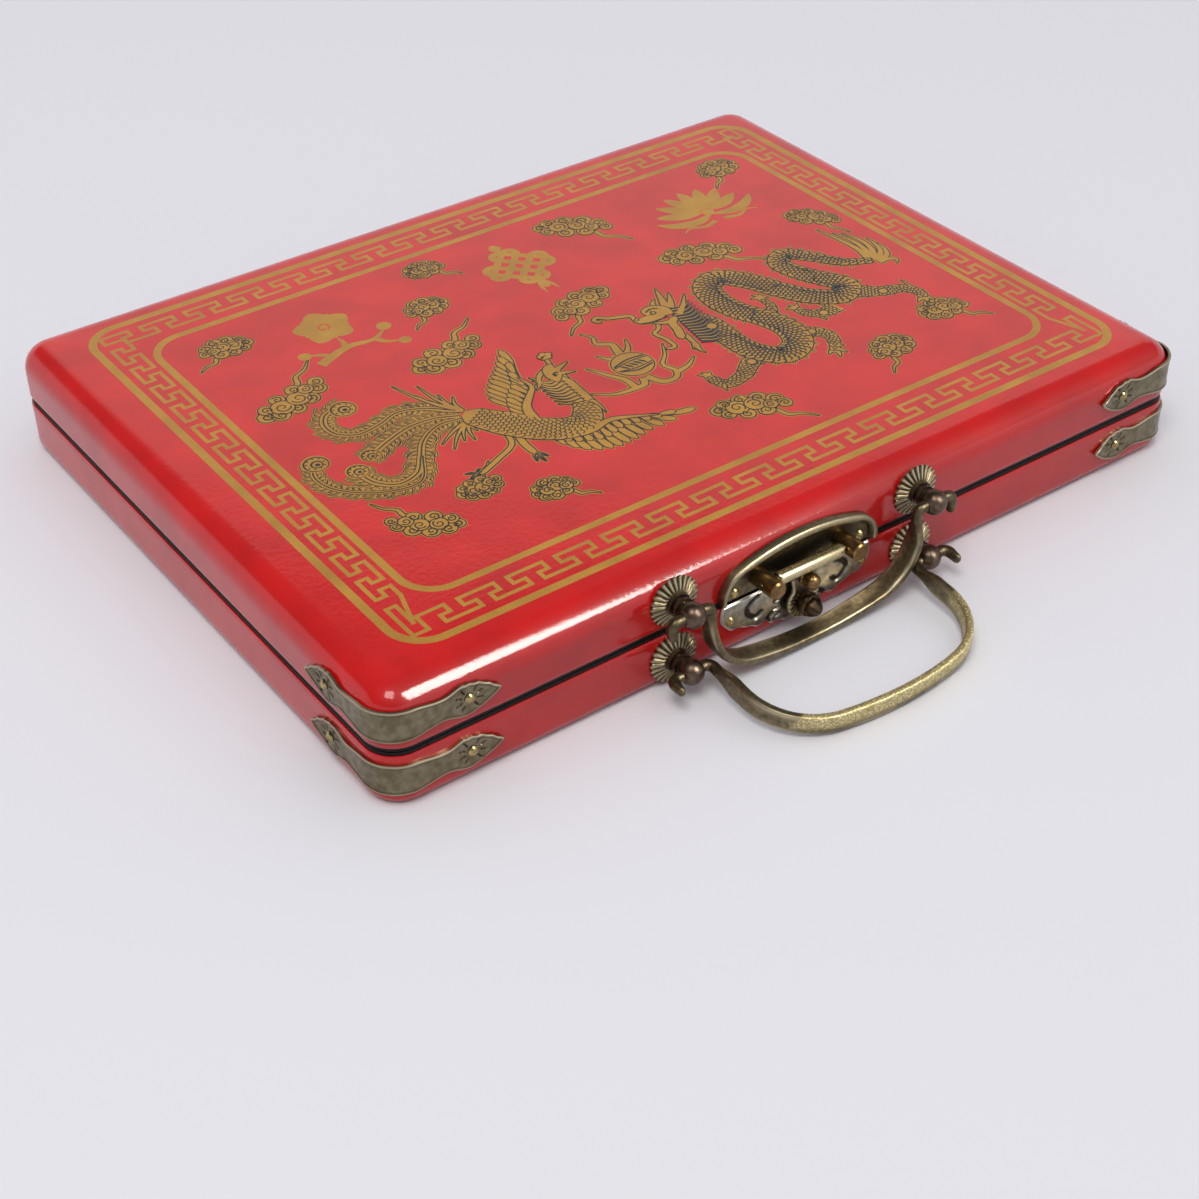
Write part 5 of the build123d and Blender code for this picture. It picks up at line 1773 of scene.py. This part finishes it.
for finish, names in (
    (post_bronze, one_each("handle_post")),
    (copper_bronze, ["latch_post_left", "latch_post_right"]),
    (antique_brass, ["latch_rod"] + one_each("hinge_leaf")),
    (bright_brass, ["latch_upper_pins", "latch_lower_pins", "lid_strap_pins", "base_strap_pins"]),
    (bright_brass, ["hinge_pin_left", "hinge_pin_right", "lid_hinge_nails", "base_hinge_nails"]),
    (zinc_steel, [f"{half}_handle_{piece}" for half, _ in halves for piece in ("nuts", "washers")]),
    (black_edging, ["lid_rim_edging", "base_rim_edging"]),
    (black_leatherette, ["underside_sheet"]),
    (black_flock, ["lid_lining", "base_lining"]),
    (frame_wood, ["lid_side_frame", "base_side_frame", "lid_top_board", "base_floor_board"]),
    (divider_wood, ["long_divider"]),
    (cross_wood, ["cross_divider"]),
):
    for name in names:
        slots = nodes[name].material_slots
        for k in range(len(slots)):
            slots[k].material = finish
        if not len(slots):
            nodes[name].data.materials.append(finish)


# --- Floor, light and camera --------------------------------------------------
# The floor's radii and the lamps' sizes and places are in metres.
floor_columns = 96
floor_radii = [0.05, 0.5, 1.5, 3.0, 6.0]
shown_floor = "DFDEE4"  # how the lit floor comes out, and so the colour of the background
horizon = (0.31, 0.42)  # the sine of the height at which the background turns into the room
panel_direction = (0.53, 0.72, 0.45)
panel_spread = (0.8, 0.92)  # cosines from the panel's direction, at its faint edge and inside
panel_foot = (0.57, 0.63)  # the sine of the height above which the room is dim again
room_dim, panel_bright = 0.05, 0.82
SMOOTH = {"interpolation_type": "SMOOTHSTEP"}


def paper_floor():
    """A wide disc of pale paper: rings from the middle out to six metres.

    The paper is matt and nearly white where it is seen, also in a mirror or through glass. To
    the light that it throws back on the case it is a mid grey, so that the sides stay deep.
    """
    angle = np.linspace(0, 2 * pi, floor_columns, endpoint=False)
    radius = np.array(floor_radii)[:, None]
    rings = np.stack(np.broadcast_arrays(radius * np.cos(angle), radius * np.sin(angle), 0.0), -1)
    points = np.concatenate([rings.reshape(-1, 3), [[0, 0, 0]]])
    ring = np.arange(floor_columns)
    middle = np.full(floor_columns, len(points) - 1)
    fan = np.stack([middle, ring, (ring + 1) % floor_columns], -1)
    faces = grid_faces(len(floor_radii), floor_columns).tolist() + fan.tolist()
    mesh = bpy.data.meshes.new("paper_floor")
    mesh.from_pydata(points.tolist(), [], faces)
    floor = bpy.data.objects.new("paper_floor", mesh)
    bpy.context.scene.collection.objects.link(floor)
    material, tree, place = blank_material("matt_paper")
    tooth = node(tree, "TexNoise", None, {"Vector": place, "Scale": per_metre(4), "Detail": 3.0})
    relief = node(tree, "Bump", None, {"Height": tooth, "Strength": 0.1, "Distance": 0.0002})
    path = node(tree, "LightPath").outputs
    seen = node(tree, "Math", MAXIMUM, {0: path["Is Camera Ray"], 1: path["Is Glossy Ray"]})
    seen = node(tree, "Math", MAXIMUM, {0: seen, 1: path["Is Transmission Ray"]})
    paper = node(tree, "Mix", COLOURS, {SHARE: seen, FIRST: srgb("A09EA2"), SECOND: srgb("EDECF0")})
    finish_material(
        tree,
        {
            "Base Color": paper.outputs[BLEND],
            "Roughness": 0.9,
            "Specular IOR Level": 0.2,
            "Normal": relief,
        },
    )
    mesh.materials.append(material)


def studio_world(strength):
    """Pale light that is strongest overhead, and a studio where the camera or a mirror looks.

    Up to 18 degrees above the horizon that is the floor's own colour, so that every view has the
    same background. Higher up it is a dim room with a wide pale ceiling panel at the back right,
    which the glossy top reflects.
    """
    world = bpy.data.worlds.new("studio")
    bpy.context.scene.world = world
    world.use_nodes = True
    tree = world.node_tree
    tree.nodes.clear()
    path = node(tree, "LightPath").outputs
    seen = node(tree, "Math", MAXIMUM, {0: path["Is Camera Ray"], 1: path["Is Transmission Ray"]})
    seen = node(tree, "Math", MAXIMUM, {0: seen, 1: path["Is Glossy Ray"]})
    direction = node(tree, "TexCoord").outputs["Generated"]
    height = node(tree, "SeparateXYZ", None, {0: direction}).outputs[2]
    above = node(
        tree, "MapRange", SMOOTH,
        {"Value": height, "From Min": horizon[0], "From Max": horizon[1]},
    )
    towards_panel = node(
        tree, "VectorMath", {"operation": "DOT_PRODUCT"}, {0: direction, 1: panel_direction}
    ).outputs["Value"]
    wide = node(
        tree, "MapRange", SMOOTH,
        {
            "Value": towards_panel, "From Min": panel_spread[0], "From Max": panel_spread[1],
            "To Min": room_dim, "To Max": panel_bright,
        },
    )
    panel = node(
        tree, "MapRange", SMOOTH,
        {
            "Value": height, "From Min": panel_foot[0], "From Max": panel_foot[1],
            "To Min": wide, "To Max": room_dim,
        },
    )
    room = node(
        tree, "VectorMath", {"operation": "SCALE"}, {0: srgb("FFF8F0")[:3], "Scale": panel}
    )
    shown = node(tree, "Mix", COLOURS, {SHARE: above, FIRST: srgb(shown_floor), SECOND: room})
    overhead = node(
        tree, "MapRange", None,
        {"Value": height, "From Max": 1.0, "To Min": 0.25 * strength, "To Max": 1.38 * strength},
    )
    light = node(tree, "Background", None, {"Color": srgb("F6F8FF"), "Strength": overhead})
    mirror = node(tree, "Background", None, {"Color": shown.outputs[BLEND], "Strength": 1.0})
    mixed = node(tree, "MixShader", None, {0: seen, 1: light, 2: mirror})
    node(tree, "OutputWorld", None, {"Surface": mixed})


def add_turned(name, data, right, up, back, place):
    """An object for a lamp or camera that looks away from back, with up at its top."""
    holder = bpy.data.objects.new(name, data)
    turn = np.eye(4)
    turn[:3, :3] = np.stack([right, up, back], -1)
    turn[:3, 3] = place
    holder.matrix_world = Matrix(turn.tolist())
    bpy.context.scene.collection.objects.link(holder)
    return holder


def soft_lamp(name, place, target, size, power, colour, lights=True):
    """A softbox that faces its target; one that does not light is seen only in highlights."""
    lamp = bpy.data.lights.new(name, "AREA")
    lamp.shape, lamp.energy, lamp.color = "RECTANGLE", power, srgb(colour)[:3]
    lamp.size, lamp.size_y = size
    aim = np.subtract(target, place)
    back = -aim / np.linalg.norm(aim)
    right = np.cross([0, 0, 1], back)
    right /= np.linalg.norm(right)
    add_turned(name, lamp, right, np.cross(back, right), back, place).visible_diffuse = lights


def studio_camera():
    """A 63 mm lens, above and to the left of the front, looking down on the case."""
    right = np.array([0.807771, -0.588801, -0.009350])
    down = np.array([-0.365585, -0.489813, -0.791778])
    forward = np.array([0.461885, 0.643194, -0.610687])
    place = np.array([-270.21, -377.61, 304.66]) / 1000
    camera = bpy.data.cameras.new("camera")
    camera.lens, camera.sensor_width = 62.63, 36.0
    camera.clip_start, camera.clip_end = 0.01, 100
    bpy.context.scene.camera = add_turned("camera", camera, right, -down, -forward, place)


paper_floor()
studio_world(0.62)
soft_lamp("key", (-0.9, -0.8, 2.4), (-0.02, -0.02, 0.02), (1.1, 1.1), 26, "FFFDF8")
soft_lamp(
    "streak", (0.81, -1.65, 1.64), (-0.05, -0.09, 0.03), (0.6, 1.3), 62, "FFFBF4", lights=False
)
studio_camera()
bpy.context.scene.view_settings.view_transform = "Standard"
